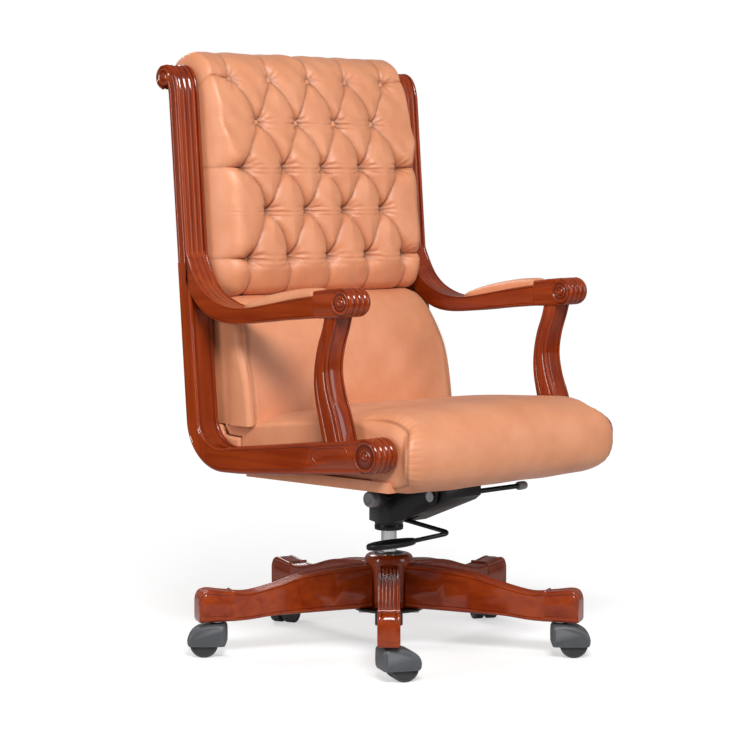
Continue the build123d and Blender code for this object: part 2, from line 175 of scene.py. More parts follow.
def spread(tree, value, low, high, to_low=0.0, to_high=1.0):
    """Maps a value from one range to another, clamped."""
    node = tree.nodes.new("ShaderNodeMapRange")
    tree.links.new(value, node.inputs["Value"])
    for label, number in zip(("From Min", "From Max", "To Min", "To Max"), (low, high, to_low, to_high)):
        node.inputs[label].default_value = number
    return node.outputs["Result"]


def sums(tree, operation, first, second):
    node = tree.nodes.new("ShaderNodeMath")
    node.operation = operation
    for socket, value in zip(node.inputs, (first, second)):
        if isinstance(value, (int, float)):
            socket.default_value = value
        else:
            tree.links.new(value, socket)
    return node.outputs[0]


def blend_colors(tree, factor, first, second, mode="MIX"):
    node = tree.nodes.new("ShaderNodeMix")
    node.data_type = "RGBA"
    node.blend_type = mode
    for label, value in zip(("Factor_Float", "A_Color", "B_Color"), (factor, first, second)):
        socket = next(item for item in node.inputs if item.identifier == label)
        if hasattr(value, "is_linked"):
            tree.links.new(value, socket)
        else:
            socket.default_value = value
    return next(item for item in node.outputs if item.identifier == "Result_Color")


def make_wood_group():
    """Lacquered mahogany: grain drawn out along Z of the given vector, painted shade in the hollows and a
    painted highlight on sharp ridges.
    """
    group, given, result = new_group(
        "lacquered_grain",
        [
            ("Vector", "NodeSocketVector", None),
            ("Light", "NodeSocketColor", (0.5, 0.1, 0.03, 1)),
            ("Dark", "NodeSocketColor", (0.12, 0.01, 0.005, 1)),
            ("Glaze", "NodeSocketFloat", 0.8),
        ],
        [("Color", "NodeSocketColor"), ("Roughness", "NodeSocketFloat"), ("Height", "NodeSocketFloat")],
    )
    vector = given.outputs["Vector"]
    drawn = group.nodes.new("ShaderNodeMapping")
    drawn.inputs["Scale"].default_value = (60, 60, 3.5)
    group.links.new(vector, drawn.inputs["Vector"])
    bands = noise(group, drawn.outputs[0], 1.0, 3.0, 0.5, 0.6)
    pores_map = group.nodes.new("ShaderNodeMapping")
    pores_map.inputs["Scale"].default_value = (700, 700, 28)
    group.links.new(vector, pores_map.inputs["Vector"])
    pores = noise(group, pores_map.outputs[0], 1.0, 2.0, 0.6)
    clouds = noise(group, vector, 7.0, 2.0, 0.5)
    tone = sums(group, "ADD", sums(group, "MULTIPLY", bands, 0.6), sums(group, "MULTIPLY", clouds, 0.4))
    tone = spread(group, tone, 0.3, 0.7, 0.12, 0.9)
    color = blend_colors(group, tone, given.outputs["Dark"], given.outputs["Light"])
    fleck = spread(group, pores, 0.58, 0.72, 0.0, 0.35)
    color = blend_colors(group, fleck, color, given.outputs["Dark"])
    shape = group.nodes.new("ShaderNodeNewGeometry")
    # Painted shade: concave spots (low Pointiness) are darkened towards near-black.
    hollow = spread(group, shape.outputs["Pointiness"], 0.5, 0.44, 0.0, 1.0)
    # Painted highlight: convex edges are lightened towards the light grain tone.
    ridge = spread(group, shape.outputs["Pointiness"], 0.52, 0.6, 0.0, 0.25)
    hollow_shade = sums(group, "MULTIPLY", hollow, given.outputs["Glaze"])
    color = blend_colors(group, hollow_shade, color, (0.028, 0.003, 0.0015, 1))
    color = blend_colors(group, ridge, color, given.outputs["Light"])
    group.links.new(color, result.inputs["Color"])
    group.links.new(spread(group, clouds, 0.3, 0.7, 0.24, 0.36), result.inputs["Roughness"])
    group.links.new(sums(group, "MULTIPLY", pores, -1.0), result.inputs["Height"])
    return group


def make_leather_group():
    """Pebbled leather with soft mottling; a mesh attribute paints shade into folds and seams."""
    group, given, result = new_group(
        "pebbled_leather",
        [
            ("Vector", "NodeSocketVector", None),
            ("Light", "NodeSocketColor", (0.8, 0.45, 0.26, 1)),
            ("Dark", "NodeSocketColor", (0.6, 0.28, 0.13, 1)),
        ],
        [("Color", "NodeSocketColor"), ("Roughness", "NodeSocketFloat"), ("Height", "NodeSocketFloat")],
    )
    vector = given.outputs["Vector"]
    mottle = spread(group, noise(group, vector, 14.0, 4.0, 0.6), 0.35, 0.65)
    color = blend_colors(group, mottle, given.outputs["Dark"], given.outputs["Light"])
    # Painted shade: folds, seams and button dimples are darkened by the mesh attribute.
    crease_shade_attribute = group.nodes.new("ShaderNodeAttribute")
    crease_shade_attribute.attribute_name = "Painted_Crease_Shade"
    painted_crease_shade = spread(group, crease_shade_attribute.outputs["Fac"], 0.0, 1.0, 0.0, 0.85)
    color = blend_colors(group, painted_crease_shade, color, (0.16, 0.045, 0.015, 1))
    cells = group.nodes.new("ShaderNodeTexVoronoi")
    cells.feature = "DISTANCE_TO_EDGE"
    cells.inputs["Scale"].default_value = 620.0
    warp = group.nodes.new("ShaderNodeVectorMath")
    warp.operation = "MULTIPLY_ADD"
    ripple = group.nodes.new("ShaderNodeTexNoise")
    ripple.inputs["Scale"].default_value = 180.0
    group.links.new(vector, ripple.inputs["Vector"])
    group.links.new(ripple.outputs["Color"], warp.inputs[0])
    warp.inputs[1].default_value = (0.003, 0.003, 0.003)
    group.links.new(vector, warp.inputs[2])
    group.links.new(warp.outputs[0], cells.inputs["Vector"])
    pebble = spread(group, cells.outputs["Distance"], 0.0, 0.22)
    fine = noise(group, vector, 900.0, 2.0)
    height = sums(group, "ADD", pebble, sums(group, "MULTIPLY", fine, 0.4))
    pores = spread(group, cells.outputs["Distance"], 0.0, 0.08, 0.14, 0.0)
    color = blend_colors(group, pores, color, (0.3, 0.11, 0.045, 1))
    group.links.new(color, result.inputs["Color"])
    group.links.new(spread(group, mottle, 0.0, 1.0, 0.44, 0.36), result.inputs["Roughness"])
    group.links.new(height, result.inputs["Height"])
    return group


def make_speckle_group():
    """Moulded or powder-coated surface: fine dimples, faint dust and paler sharp ridges."""
    group, given, result = new_group(
        "moulded_speckle",
        [
            ("Vector", "NodeSocketVector", None),
            ("Base", "NodeSocketColor", (0.05, 0.05, 0.05, 1)),
            ("Worn", "NodeSocketColor", (0.16, 0.16, 0.16, 1)),
            ("Grain", "NodeSocketFloat", 900.0),
            ("Smooth", "NodeSocketFloat", 0.4),
        ],
        [("Color", "NodeSocketColor"), ("Roughness", "NodeSocketFloat"), ("Height", "NodeSocketFloat")],
    )
    vector = given.outputs["Vector"]
    grain = noise(group, vector, given.outputs["Grain"], 2.0, 0.7)
    dust = spread(group, noise(group, vector, 22.0, 5.0, 0.65), 0.45, 0.75, 0.0, 0.3)
    shape = group.nodes.new("ShaderNodeNewGeometry")
    # Sharp convex ridges are mixed towards the paler tint.
    ridge = spread(group, shape.outputs["Pointiness"], 0.52, 0.62, 0.0, 0.8)
    color = blend_colors(group, dust, given.outputs["Base"], given.outputs["Worn"])
    color = blend_colors(group, ridge, color, given.outputs["Worn"])
    group.links.new(color, result.inputs["Color"])
    rough = sums(group, "ADD", given.outputs["Smooth"], spread(group, grain, 0.3, 0.7, 0.0, 0.14))
    group.links.new(rough, result.inputs["Roughness"])
    group.links.new(grain, result.inputs["Height"])
    return group


WOOD_GROUP = make_wood_group()
LEATHER_GROUP = make_leather_group()
SPECKLE_GROUP = make_speckle_group()


def new_material(name, group, settings, bump, bump_distance, turn=(0, 0, 0), **sockets):
    """A finish: one group drawn on Object coordinates, feeding a Principled shader."""
    material = bpy.data.materials.new(name)
    material.use_nodes = True
    tree = material.node_tree
    shader = tree.nodes["Principled BSDF"]
    coordinates = tree.nodes.new("ShaderNodeTexCoord")
    mapping = tree.nodes.new("ShaderNodeMapping")
    mapping.inputs["Rotation"].default_value = turn
    tree.links.new(coordinates.outputs["Object"], mapping.inputs["Vector"])
    effect = tree.nodes.new("ShaderNodeGroup")
    effect.node_tree = group
    tree.links.new(mapping.outputs[0], effect.inputs["Vector"])
    for label, value in settings.items():
        effect.inputs[label].default_value = value
    tree.links.new(effect.outputs["Color"], shader.inputs["Base Color"])
    tree.links.new(effect.outputs["Roughness"], shader.inputs["Roughness"])
    relief = tree.nodes.new("ShaderNodeBump")
    relief.inputs["Strength"].default_value = bump
    relief.inputs["Distance"].default_value = bump_distance
    tree.links.new(effect.outputs["Height"], relief.inputs["Height"])
    tree.links.new(relief.outputs["Normal"], shader.inputs["Normal"])
    for label, value in sockets.items():
        shader.inputs[label.replace("_", " ")].default_value = value
    return material


def wood(name, turn):
    # The third tone is the strength of the painted shade in the hollows.
    tones = {"Light": (0.37, 0.05, 0.004, 1), "Dark": (0.13, 0.008, 0.001, 1), "Glaze": 0.95}
    return new_material(
        name, WOOD_GROUP, tones, 0.12, 0.0004, turn, Coat_Weight=0.75, Coat_Roughness=0.06, Coat_IOR=1.5,
        Specular_IOR_Level=0.12,
    )


def moulded(name, base, pale_tint, grain, roughness, bump, bump_distance, **sockets):
    """A plastic, metal, thread or cloth finish, from its colour and the paler tint of its dust and sharp
    ridges.
    """
    tones = {"Base": (*base, 1), "Worn": (*pale_tint, 1), "Grain": grain, "Smooth": roughness}
    return new_material(name, SPECKLE_GROUP, tones, bump, bump_distance, **sockets)


QUARTER = math.pi / 2
UPRIGHT_WOOD = wood("mahogany_upright", (0, 0, 0))
LEVEL_WOOD = wood("mahogany_level", (QUARTER, 0, 0))
LEATHER = new_material(
    "tan_leather", LEATHER_GROUP,
    {"Light": (0.76, 0.32, 0.165, 1), "Dark": (0.69, 0.27, 0.13, 1)}, 0.22, 0.0006,
    Coat_Weight=0.12, Coat_Roughness=0.35, Sheen_Weight=0.08, Sheen_Roughness=0.4,
)
THREAD = moulded("seam_thread", (0.55, 0.26, 0.13), (0.72, 0.4, 0.24), 2500.0, 0.5, 0.3, 0.0003)
HOOD_PLASTIC = moulded(
    "hood_plastic", (0.062, 0.066, 0.072), (0.15, 0.155, 0.165), 1200.0, 0.38, 0.25, 0.0003,
)
WHEEL_PLASTIC = moulded("wheel_plastic", (0.03, 0.031, 0.033), (0.1, 0.1, 0.105), 1500.0, 0.35, 0.2, 0.0002)
GRIP_PLASTIC = moulded(
    "grip_plastic", (0.045, 0.043, 0.043), (0.12, 0.115, 0.115), 1400.0, 0.3, 0.25, 0.0002,
)
CAP_PLASTIC = moulded("cap_plastic", (0.23, 0.23, 0.235), (0.38, 0.38, 0.39), 1400.0, 0.3, 0.2, 0.0002)
BLACK_STEEL = moulded(
    "black_steel", (0.004, 0.004, 0.005), (0.02, 0.02, 0.022), 1100.0, 0.34, 0.18, 0.0002,
    Coat_Weight=0.12, Coat_Roughness=0.2, Specular_IOR_Level=0.3,
)
BRIGHT_STEEL = moulded(
    "bright_steel", (0.5, 0.5, 0.51), (0.7, 0.7, 0.71), 1600.0, 0.22, 0.08, 0.0001, Metallic=1.0,
)
CHROME = moulded("chrome", (0.8, 0.81, 0.83), (0.86, 0.87, 0.89), 600.0, 0.04, 0.02, 0.0001, Metallic=1.0)
# Its third tone is the strength of the painted shade in the hollows.
PLYWOOD = new_material(
    "plywood", WOOD_GROUP, {"Light": (0.62, 0.42, 0.24, 1), "Dark": (0.4, 0.24, 0.12, 1), "Glaze": 0.3},
    0.2, 0.0004,
)
CAMBRIC = moulded("black_cambric", (0.014, 0.014, 0.015), (0.04, 0.04, 0.042), 2200.0, 0.7, 0.5, 0.0004)

# ------------------------------------------------------------------ drawn wooden bars

BAR_WIDTH = 50 * MM
BAR_CENTRE = 280 * MM        # across, from the middle of the chair
BEAD = 3.5 * MM


def front_line(width, kind, bead=BEAD):
    """The moulded side of a bar, edge to edge, as (across, lift) points."""
    steps = 7
    field = width / 2 - 2 * bead
    edge = []
    for step in range(steps + 1):
        turn = math.pi * (1 - step / steps)
        edge.append((-width / 2 + bead + bead * math.cos(turn), bead * (math.sin(turn) - 1)))
    middle = []
    count = 36 if kind.startswith("reeds") else 12
    for step in range(1, count):
        place = step / count
        if kind.startswith("reeds"):
            lift = -bead + 0.8 * bead * abs(math.sin(int(kind[-1]) * math.pi * place))
        elif kind == "cove":
            lift = -bead - 1.6 * MM * math.sin(math.pi * place)
        else:
            lift = -0.35 * bead + 0.8 * MM * math.sin(math.pi * place)
        middle.append((-field + 2 * field * place, lift))
    return edge + middle + [(-across, lift) for across, lift in reversed(edge)]


def side_line(half, high, low):
    """One flat side of a bar with a fine quirk near each end, going down."""
    quirk = 0.9 * MM
    points = []
    for middle in (high - 3.6 * MM, low + 3.6 * MM):
        points += [(half, middle + 1.2 * MM), (half - quirk, middle), (half, middle - 1.2 * MM)]
    return points


def bar_section(width, depth, kind="cove", bead=BEAD):
    """Closed outline of a bar: moulded front, quirked sides and a rounded back."""
    front = [(across, depth / 2 + lift) for across, lift in front_line(width, kind, bead)]
    rounding = 6 * MM
    right = side_line(width / 2, depth / 2 - bead, -depth / 2 + rounding)
    back = []
    for step in range(7):
        turn = -QUARTER * step / 6
        back.append((
            width / 2 - rounding + rounding * math.cos(turn),
            -depth / 2 + rounding + rounding * math.sin(turn),
        ))
    left = [(-across, up) for across, up in reversed(right)]
    return front + right + back + [(-across, up) for across, up in reversed(back)] + left


def drawn_bar(name, section, stations, across=BAR_CENTRE):
    """Bar extruded, turned and thinned from station to station. A station is its back and front edge, as
    (y, z) in millimetres; the section's own depth is the first station's."""
    frames = []
    for back, front in stations:
        reach = Vector((0, front[0] - back[0], front[1] - back[1])) * MM
        centre = Vector((across, (front[0] + back[0]) / 2 * MM, (front[1] + back[1]) / 2 * MM))
        frames.append((centre, math.atan2(reach.z, reach.y), reach.length))
    deselect()
    bpy.ops.mesh.primitive_circle_add(vertices=len(section), radius=0.02, fill_type="NGON")
    piece = bpy.context.object
    piece.name = name
    centre, tilt, depth = frames[0]
    up = Vector((0, math.cos(tilt), math.sin(tilt)))
    for vertex, (side, lift) in zip(piece.data.vertices, section):
        vertex.co = centre + Vector((side, 0, 0)) + up * lift
    edit(piece)
    for (centre, tilt, depth), (next_centre, next_tilt, next_depth) in zip(frames, frames[1:]):
        bpy.ops.mesh.extrude_region_move(TRANSFORM_OT_translate={"value": next_centre - centre})
        turn = (next_tilt - tilt + math.pi) % (2 * math.pi) - math.pi
        if abs(turn) > 1e-6:
            bpy.ops.transform.rotate(value=-turn, orient_axis="X", center_override=next_centre)
        ratio = next_depth / depth
        if abs(ratio - 1) > 1e-6:
            bpy.ops.transform.resize(value=(1, ratio, ratio), center_override=next_centre)
    bpy.ops.mesh.select_all(action="SELECT")
    bpy.ops.mesh.normals_make_consistent(inside=False)
    deselect()
    return piece


def turned(name, profile, centre, axis="X", steps=72):
    """Turned piece: a profile of (along, radius) points in metres, spun round an axis through centre."""
    mesh = bpy.data.meshes.new(name)
    out = Vector((0, 0, 1)) if axis == "X" else Vector((1, 0, 0))
    line = Vector((1, 0, 0)) if axis == "X" else Vector((0, 0, 1))
    points = [Vector(centre) + line * place + out * radius for place, radius in profile]
    mesh.from_pydata(points, [(index, index + 1) for index in range(len(points) - 1)], [])
    piece = bpy.data.objects.new(name, mesh)
    bpy.context.collection.objects.link(piece)
    edit(piece)
    bpy.ops.mesh.spin(steps=steps, angle=2 * math.pi, center=centre, axis=line)
    bpy.ops.mesh.select_all(action="SELECT")
    bpy.ops.mesh.remove_doubles(threshold=1e-5)
    bpy.ops.mesh.normals_make_consistent(inside=False)
    deselect()
    return piece


def knuckle(name, y, z, radius, across=BAR_CENTRE):
    """Ridged round end of a bar, with a ring and a small rosette on each face."""
    half = BAR_WIDTH / 2
    face = [(0.6, 0), (2.2, 2.0), (2.6, 4.0), (1.6, 5.6), (0.3, 6.6), (0.1, 8.5), (0.9, 9.6), (0.2, 10.8)]
    ring = [(0.0, 9.5), (1.4, 8.2), (1.9, 6.6), (1.4, 5.0), (0.0, 3.9), (-0.6, 2.4)]
    face += [(out, radius / MM - inward) for out, inward in ring]
    right = [(half + out * MM, reach * MM) for out, reach in face]
    beads = 4
    steps = 44
    rim = []
    for step in range(steps + 1):
        place = step / steps
        ridge = abs(math.sin(beads * math.pi * place)) ** 0.75
        rim.append((-half + BAR_WIDTH * place, radius - 2.6 * MM * (1 - ridge)))
    left = [(-place, reach) for place, reach in right]
    return turned(name, left + rim + list(reversed(right)), (across, y * MM, z * MM))


def arc(centre, radius, start, stop, count):
    """Points (y, z) on an arc, angles in degrees from +Y towards +Z."""
    for step in range(count):
        angle = math.radians(start + (stop - start) * step / (count - 1))
        yield (centre[0] + radius * math.cos(angle), centre[1] + radius * math.sin(angle))


def sampled(back, front, count):
    return [(along(back, k / (count - 1)), along(front, k / (count - 1))) for k in range(count)]


def make_side_frame():
    """Left rail, bottom corner, stile and scroll, built at the sitter's left."""
    rail = sampled(
        [(-238, 365.8), (-100, 353.6), (43, 342), (112, 340)],
        [(-238, 422.8), (-120, 409.1), (0, 395.2), (111.3, 382.3)], 9,
    )
    corner = list(zip(arc((112, 430), 90, -90, -4, 17), arc((117.5, 436), 54, -96.6, -5.4, 17)))
    lower = sampled([(202, 424), (223, 701)], [(171.3, 431), (194, 701)], 8)
    upper = sampled([(223, 701), (244.6, 985)], [(194, 701), (215.6, 985)], 8)
    curl = sampled(
        [(245.6, 996), (248, 1008), (250.5, 1018), (252.5, 1023), (254, 1025.5), (256, 1027), (258, 1026),
         (258.5, 1024), (257, 1022), (255, 1021)],
        [(216.8, 1000), (220.5, 1017), (227, 1032), (237, 1043), (250, 1048), (263, 1046.5), (273, 1038),
         (277, 1026), (273, 1012.5), (261, 1004)], 30,
    )
    low_part = drawn_bar("low", bar_section(BAR_WIDTH, 57 * MM, "cove"), rail + corner[1:] + lower[1:])
    high_part = drawn_bar("high", bar_section(BAR_WIDTH, 29 * MM, "reeds3"), upper + curl)
    volute = []
    for side in (-1, 1):
        face = [(0, 15.5), (1.6, 14.5), (2.2, 12.5), (1.2, 10.5), (0.5, 8), (1.8, 5), (2.4, 0)]
        volute.append(turned(
            "volute", [(side * (25 + out) * MM, reach * MM) for out, reach in face],
            (BAR_CENTRE, 255.5 * MM, 1026 * MM), steps=48,
        ))
    tongue = carved_tongue(-158, 391, 27)
    front = knuckle("front", -239, 394.5, 30 * MM)
    frame_piece = join([low_part, high_part, tongue, front] + volute, "frame")
    smooth(frame_piece, 38)
    return frame_piece


def carved_tongue(y, z, reach):
    """Raised round-ended outline on a rail's outer face: a ring, its halves drawn apart."""
    deselect()
    bpy.ops.mesh.primitive_torus_add(
        major_segments=48, minor_segments=10, major_radius=14 * MM, minor_radius=1.5 * MM,
        location=(BAR_CENTRE + BAR_WIDTH / 2, y * MM, z * MM), rotation=(0, QUARTER, 0),
    )
    ring = settle(bpy.context.object)
    for sign in (-1, 1):
        edit(ring, "DESELECT")
        bpy.ops.object.mode_set(mode="OBJECT")
        for vertex in ring.data.vertices:
            vertex.select = (vertex.co.y - y * MM) * sign > 1e-5
        bpy.ops.object.mode_set(mode="EDIT")
        bpy.ops.transform.translate(value=(0, sign * reach * MM, -sign * reach * 0.1 * MM))
    deselect()
    return ring


def make_arm():
    """Left armrest: reeded sweep from the stile, plain block and ridged knuckle."""
    back = [(200, 660), (181, 636), (160, 619.5), (130, 604.5), (92, 599), (40, 601.5), (-40, 610)]
    back += [(-118, 616.8)]
    front = [(200, 726), (185, 693), (167, 665), (138, 643), (94, 629), (40, 629.5), (-40, 643), (-119, 655)]
    sweep = drawn_bar("sweep", bar_section(BAR_WIDTH, 66 * MM, "reeds3", 3 * MM), sampled(back, front, 34))
    block = drawn_bar(
        "block", bar_section(BAR_WIDTH, 46 * MM, "plain", 3 * MM),
        [((-119, 616.9), (-119, 662.5)), ((-150, 618), (-150, 666.5)), ((-182, 620.5), (-182, 669.5))],
    )
    arm = join([sweep, block, knuckle("front", -182, 645, 24.5 * MM)], "arm")
    smooth(arm, 38)
    return arm


def make_post():
    """Left arm post, bowed forward at its foot and head."""
    back = [(-138, 624), (-132, 600), (-120, 568), (-112.5, 530), (-112.5, 494), (-121, 452), (-135, 402)]
    front = [(-169, 624), (-162, 600), (-150.5, 566), (-146, 530), (-153.5, 492), (-168, 455), (-183, 404)]
    post = drawn_bar("post", bar_section(40 * MM, 31 * MM, "plain", 2.5 * MM), sampled(back, front, 30))
    smooth(post, 38)
    return post


def make_frame_pair(build, name, material, *nodes):
    left = build()
    right = twin(left, name)
    for side, piece in (("left", left), ("right", right)):
        dress(piece, f"{side}_{name}", material, "seat", "mahogany", *[f"{side}_{node}" for node in nodes])
        if name == "side_frame":
            piece.data.materials.append(LEVEL_WOOD)
            for face in piece.data.polygons:
                if face.center.z < 0.424 and face.center.y < 0.15:
                    face.material_index = 1


# ------------------------------------------------------------------ wooden base

LEG_COUNT = 5
FIRST_LEG = math.radians(-136 + 90)      # turn of leg 1 from a leg drawn along -Y


def make_leg():
    """Leg along -Y: reeded on top as far as a bead, then a plain raised foot."""
    top = [(37, 160), (82, 158), (155, 149), (217, 132), (262, 122.5), (292, 124)]
    under = [(37, 82), (82, 81.7), (155, 79.8), (217, 78.2), (262, 73.5), (292, 72.1)]
    pairs = sampled([(-r, z) for r, z in under], [(-r, z) for r, z in top], 22)
    root = drawn_bar("root", bar_section(38 * MM, 78 * MM, "reeds4", 3 * MM), pairs, across=0)
    toe_top = [(292, 125), (312, 127.5), (332, 130.5), (342, 130), (349, 126.5), (353, 119.5), (354.5, 112)]
    toe_low = [(292, 72), (312, 72), (332, 72), (342, 72), (349, 72), (353, 72.6), (354.5, 75)]
    pairs = sampled([(-r, z) for r, z in toe_low], [(-r, z) for r, z in toe_top], 20)
    toe = drawn_bar("toe", bar_section(38.6 * MM, 52.5 * MM, "plain", 3.5 * MM), pairs, across=0)
    bead_profile = [(-19.6, 0), (-19.6, 1.5), (-18.5, 3), (-6, 3.2), (0, 3.3)]
    bead_profile += [(6, 3.2), (18.5, 3), (19.6, 1.5), (19.6, 0)]
    bead = turned("bead", in_mm(bead_profile), (0, -293 * MM, 124 * MM), steps=20)
    leg = join([root, toe, bead], "leg")
    smooth(leg, 38)
    return leg


def make_base():
    leg = make_leg()
    for number in range(LEG_COUNT):
        copy = leg.copy()
        copy.data = leg.data.copy()
        bpy.context.collection.objects.link(copy)
        turn = FIRST_LEG + number * 2 * math.pi / LEG_COUNT
        copy.data.transform(Matrix.Rotation(turn, 4, "Z"))
        grain = wood(f"mahogany_leg_{number + 1}", (QUARTER, 0, -turn))
        dress(copy, f"leg_{number + 1}", grain, "base", "mahogany", f"base_leg_{number + 1}")
    bpy.data.objects.remove(leg)
    profile = [(82, 25.2), (82, 36.5), (83, 37.5), (100, 37.6), (125, 38.2), (145, 40), (156, 42.2)]
    profile += [(159, 43.2), (163, 43.8), (168, 43.7), (172, 42.6), (175, 40.6), (177, 38), (178.4, 34.6)]
    profile += [(179, 30), (178.8, 26.5), (178, 25.2)]
    hub = turned("hub", in_mm(profile), (0, 0, 0), "Z", 96)
    smooth(hub, 50)
    dress(hub, "hub", UPRIGHT_WOOD, "base", "mahogany", "base_hub")


make_frame_pair(make_side_frame, "side_frame", UPRIGHT_WOOD, "side_rail", "back_stile")
make_frame_pair(make_arm, "arm", LEVEL_WOOD, "armrest")
make_frame_pair(make_post, "post", UPRIGHT_WOOD, "arm_post")
make_base()

# ------------------------------------------------------------------ casters

CASTER_REACH = 318 * MM
CASTER_TURNS = (-28, -46, 60, 200, 134)


def plate_solid(name, outline, half):
    """A drawn side outline, (along, up) in metres, given a thickness of two halves across Y."""
    deselect()
    bpy.ops.mesh.primitive_circle_add(vertices=len(outline), radius=0.02, fill_type="NGON")
    piece = bpy.context.object
    piece.name = name
    for vertex, (along_x, up) in zip(piece.data.vertices, outline):
        vertex.co = (along_x, -half, up)
    edit(piece)
    bpy.ops.mesh.extrude_region_move(TRANSFORM_OT_translate={"value": (0, 2 * half, 0)})
    bpy.ops.mesh.select_all(action="SELECT")
    bpy.ops.mesh.normals_make_consistent(inside=False)
    deselect()
    return piece


def carve(piece, cutter):
    modifier = piece.modifiers.new("carve", "BOOLEAN")
    modifier.operation = "DIFFERENCE"
    modifier.solver = "EXACT"
    modifier.object = cutter
    apply_modifiers(piece)
    bpy.data.objects.remove(cutter)


def make_hood():
    """Caster hood at its own stem: a domed shell with a web between its two wheels."""
    low = 14.6
    outline = [(-8, low), (43, low), (48, 18), (51, 24), (51.6, 31), (50, 38), (46, 44), (40.5, 48.8)]
    outline += [(33.5, 52.8), (25, 55.8), (16, 57.7), (6, 58.5), (-6, 58.6), (-12, 58), (-15, 56)]
    outline += [(-16.8, 52.5), (-17.2, 46), (-17.4, 36), (-17, 25), (-14, 18)]
    hood = plate_solid("hood", in_mm(outline), 27 * MM)
    edge_bevel = hood.modifiers.new("shoulder", "BEVEL")
    edge_bevel.width = 8.5 * MM
    edge_bevel.segments = 6
    edge_bevel.limit_method = "ANGLE"
    edge_bevel.angle_limit = math.radians(60)
    apply_modifiers(hood)
    for side in (-1, 1):
        deselect()
        bpy.ops.mesh.primitive_cylinder_add(
            vertices=64, radius=26.4 * MM, depth=19.4 * MM, location=(22 * MM, side * 13.1 * MM, 25 * MM),
            rotation=(QUARTER, 0, 0),
        )
        carve(hood, settle(bpy.context.object))
    deselect()
    bpy.ops.mesh.primitive_cube_add(size=1, location=(22 * MM, 0, 8 * MM))
    block = bpy.context.object
    block.scale = (90 * MM, 60 * MM, 24 * MM)
    carve(hood, settle(block))
    smooth(hood, 40)
    return hood


def make_wheel(side):
    """Caster wheel with a softened tread, a ringed face and a hub cap, its axle along Y."""
    profile = [(4, 4.6), (4, 9), (5.2, 10), (5.2, 20), (4, 21), (4, 23.4), (4.6, 24.6), (6, 25)]
    profile += [(12.9, 25.0), (13.1, 24.5), (13.6, 24.5), (13.8, 25), (20, 25), (21.4, 24.6), (22, 23.4)]
    profile += [(22, 21), (20.8, 20), (20.8, 12), (21.6, 11), (21.8, 8), (21.9, 4.6)]
    wheel = turned("wheel", in_mm(profile), (0, 0, 0), steps=64)
    wheel.data.transform(Matrix.Translation((22 * MM, 0, 25 * MM)) @ Matrix.Rotation(QUARTER * side, 4, "Z"))
    smooth(wheel, 35)
    return wheel


def make_collar():
    """Swivel collar between the hood and the leg."""
    profile = [(57, 9.2), (57, 12.4), (59.2, 12.6), (59.8, 12), (60, 10.4), (60.4, 9.4), (60.5, 6.5)]
    collar = turned("collar", in_mm(profile), (0, 0, 0), "Z", 40)
    smooth(collar, 40)
    return collar


def place_casters():
    shapes = [
        (make_hood(), "hood", "caster_{0}", HOOD_PLASTIC, "grey_plastic", ("caster_hood_{0}",)),
        (make_collar(), "collar", "caster_{0}", BLACK_STEEL, "dark_steel", ()),
    ]
    for side, facing in (("left", 1), ("right", -1)):
        name = f"wheel_{side}"
        node = f"caster_wheel_{side}_{{0}}"
        shapes.append((make_wheel(facing), name, name + "_{0}", WHEEL_PLASTIC, "wheel_plastic", (node,)))
    for number, trail in enumerate(CASTER_TURNS, 1):
        leg = FIRST_LEG - QUARTER + (number - 1) * 2 * math.pi / LEG_COUNT
        spot = Vector((CASTER_REACH * math.cos(leg), CASTER_REACH * math.sin(leg), 0))
        matrix = Matrix.Translation(spot) @ Matrix.Rotation(math.radians(trail), 4, "Z")
        for shape, name, body, material, slot, nodes in shapes:
            copy = shape.copy()
            copy.data = shape.data.copy()
            bpy.context.collection.objects.link(copy)
            copy.data.transform(matrix)
            names = [node.format(number) for node in nodes]
            dress(copy, f"{name}_{number}", material, body.format(number), slot, *names)
    for shape in shapes:
        bpy.data.objects.remove(shape[0])


# ------------------------------------------------------------------ lift and tilt mechanism


def softened(node, width, segments=2, degrees=30.0):
    """Copy of a CAD node, its facets merged and its sharp edges rounded."""
    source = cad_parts[node]
    mesh = bpy.data.meshes.new(node + "_soft")
    points = [tuple(vertex.co + Vector((0, 0, FLOOR))) for vertex in source.data.vertices]
    mesh.from_pydata(points, [], [tuple(face.vertices) for face in source.data.polygons])
    piece = bpy.data.objects.new(node + "_soft", mesh)
    bpy.context.collection.objects.link(piece)
    edit(piece)
    bpy.ops.mesh.remove_doubles(threshold=2e-6)
    bpy.ops.mesh.dissolve_limited(angle_limit=math.radians(1.5))
    bpy.ops.mesh.normals_make_consistent(inside=False)
    bevel(piece, width, segments, degrees)
    return piece


def make_mechanism():
    for node, width, material, body, slot in (
        ("tilt_housing", 2.2, BLACK_STEEL, "column", "black_steel"),
        ("seat_plate", 0.9, BLACK_STEEL, "seat", "black_steel"),
        ("hub_base_plate", 0.8, BLACK_STEEL, "base", "black_steel"),
    ):
        piece = softened(node, width * MM)
        dress(piece, node + "_finished", material, body, slot, node)
    lip = [(176, 14.6), (176.2, 19), (177, 21.5), (178.6, 22.6), (180.2, 22), (181.6, 19.5), (182.2, 14.6)]
    collar = turned("collar", in_mm(lip), (0, 0, 0), "Z", 64)
    smooth(collar, 45)
    dress(collar, "lift_collar", GRIP_PLASTIC, "base", "black_plastic", "lift_guide_bush")
    ring = [(221, 15), (221, 24), (222, 25.6), (226, 26), (229, 26), (230, 25.2), (233, 25.2), (234, 26)]
    ring += [(239, 26), (240, 24)]
    neck = turned("neck", in_mm(ring), (0, 0, 0), "Z", 64)
    smooth(neck, 40)
    dress(neck, "neck_ring", BLACK_STEEL, "column", "black_steel")
    make_knob()
    make_levers()


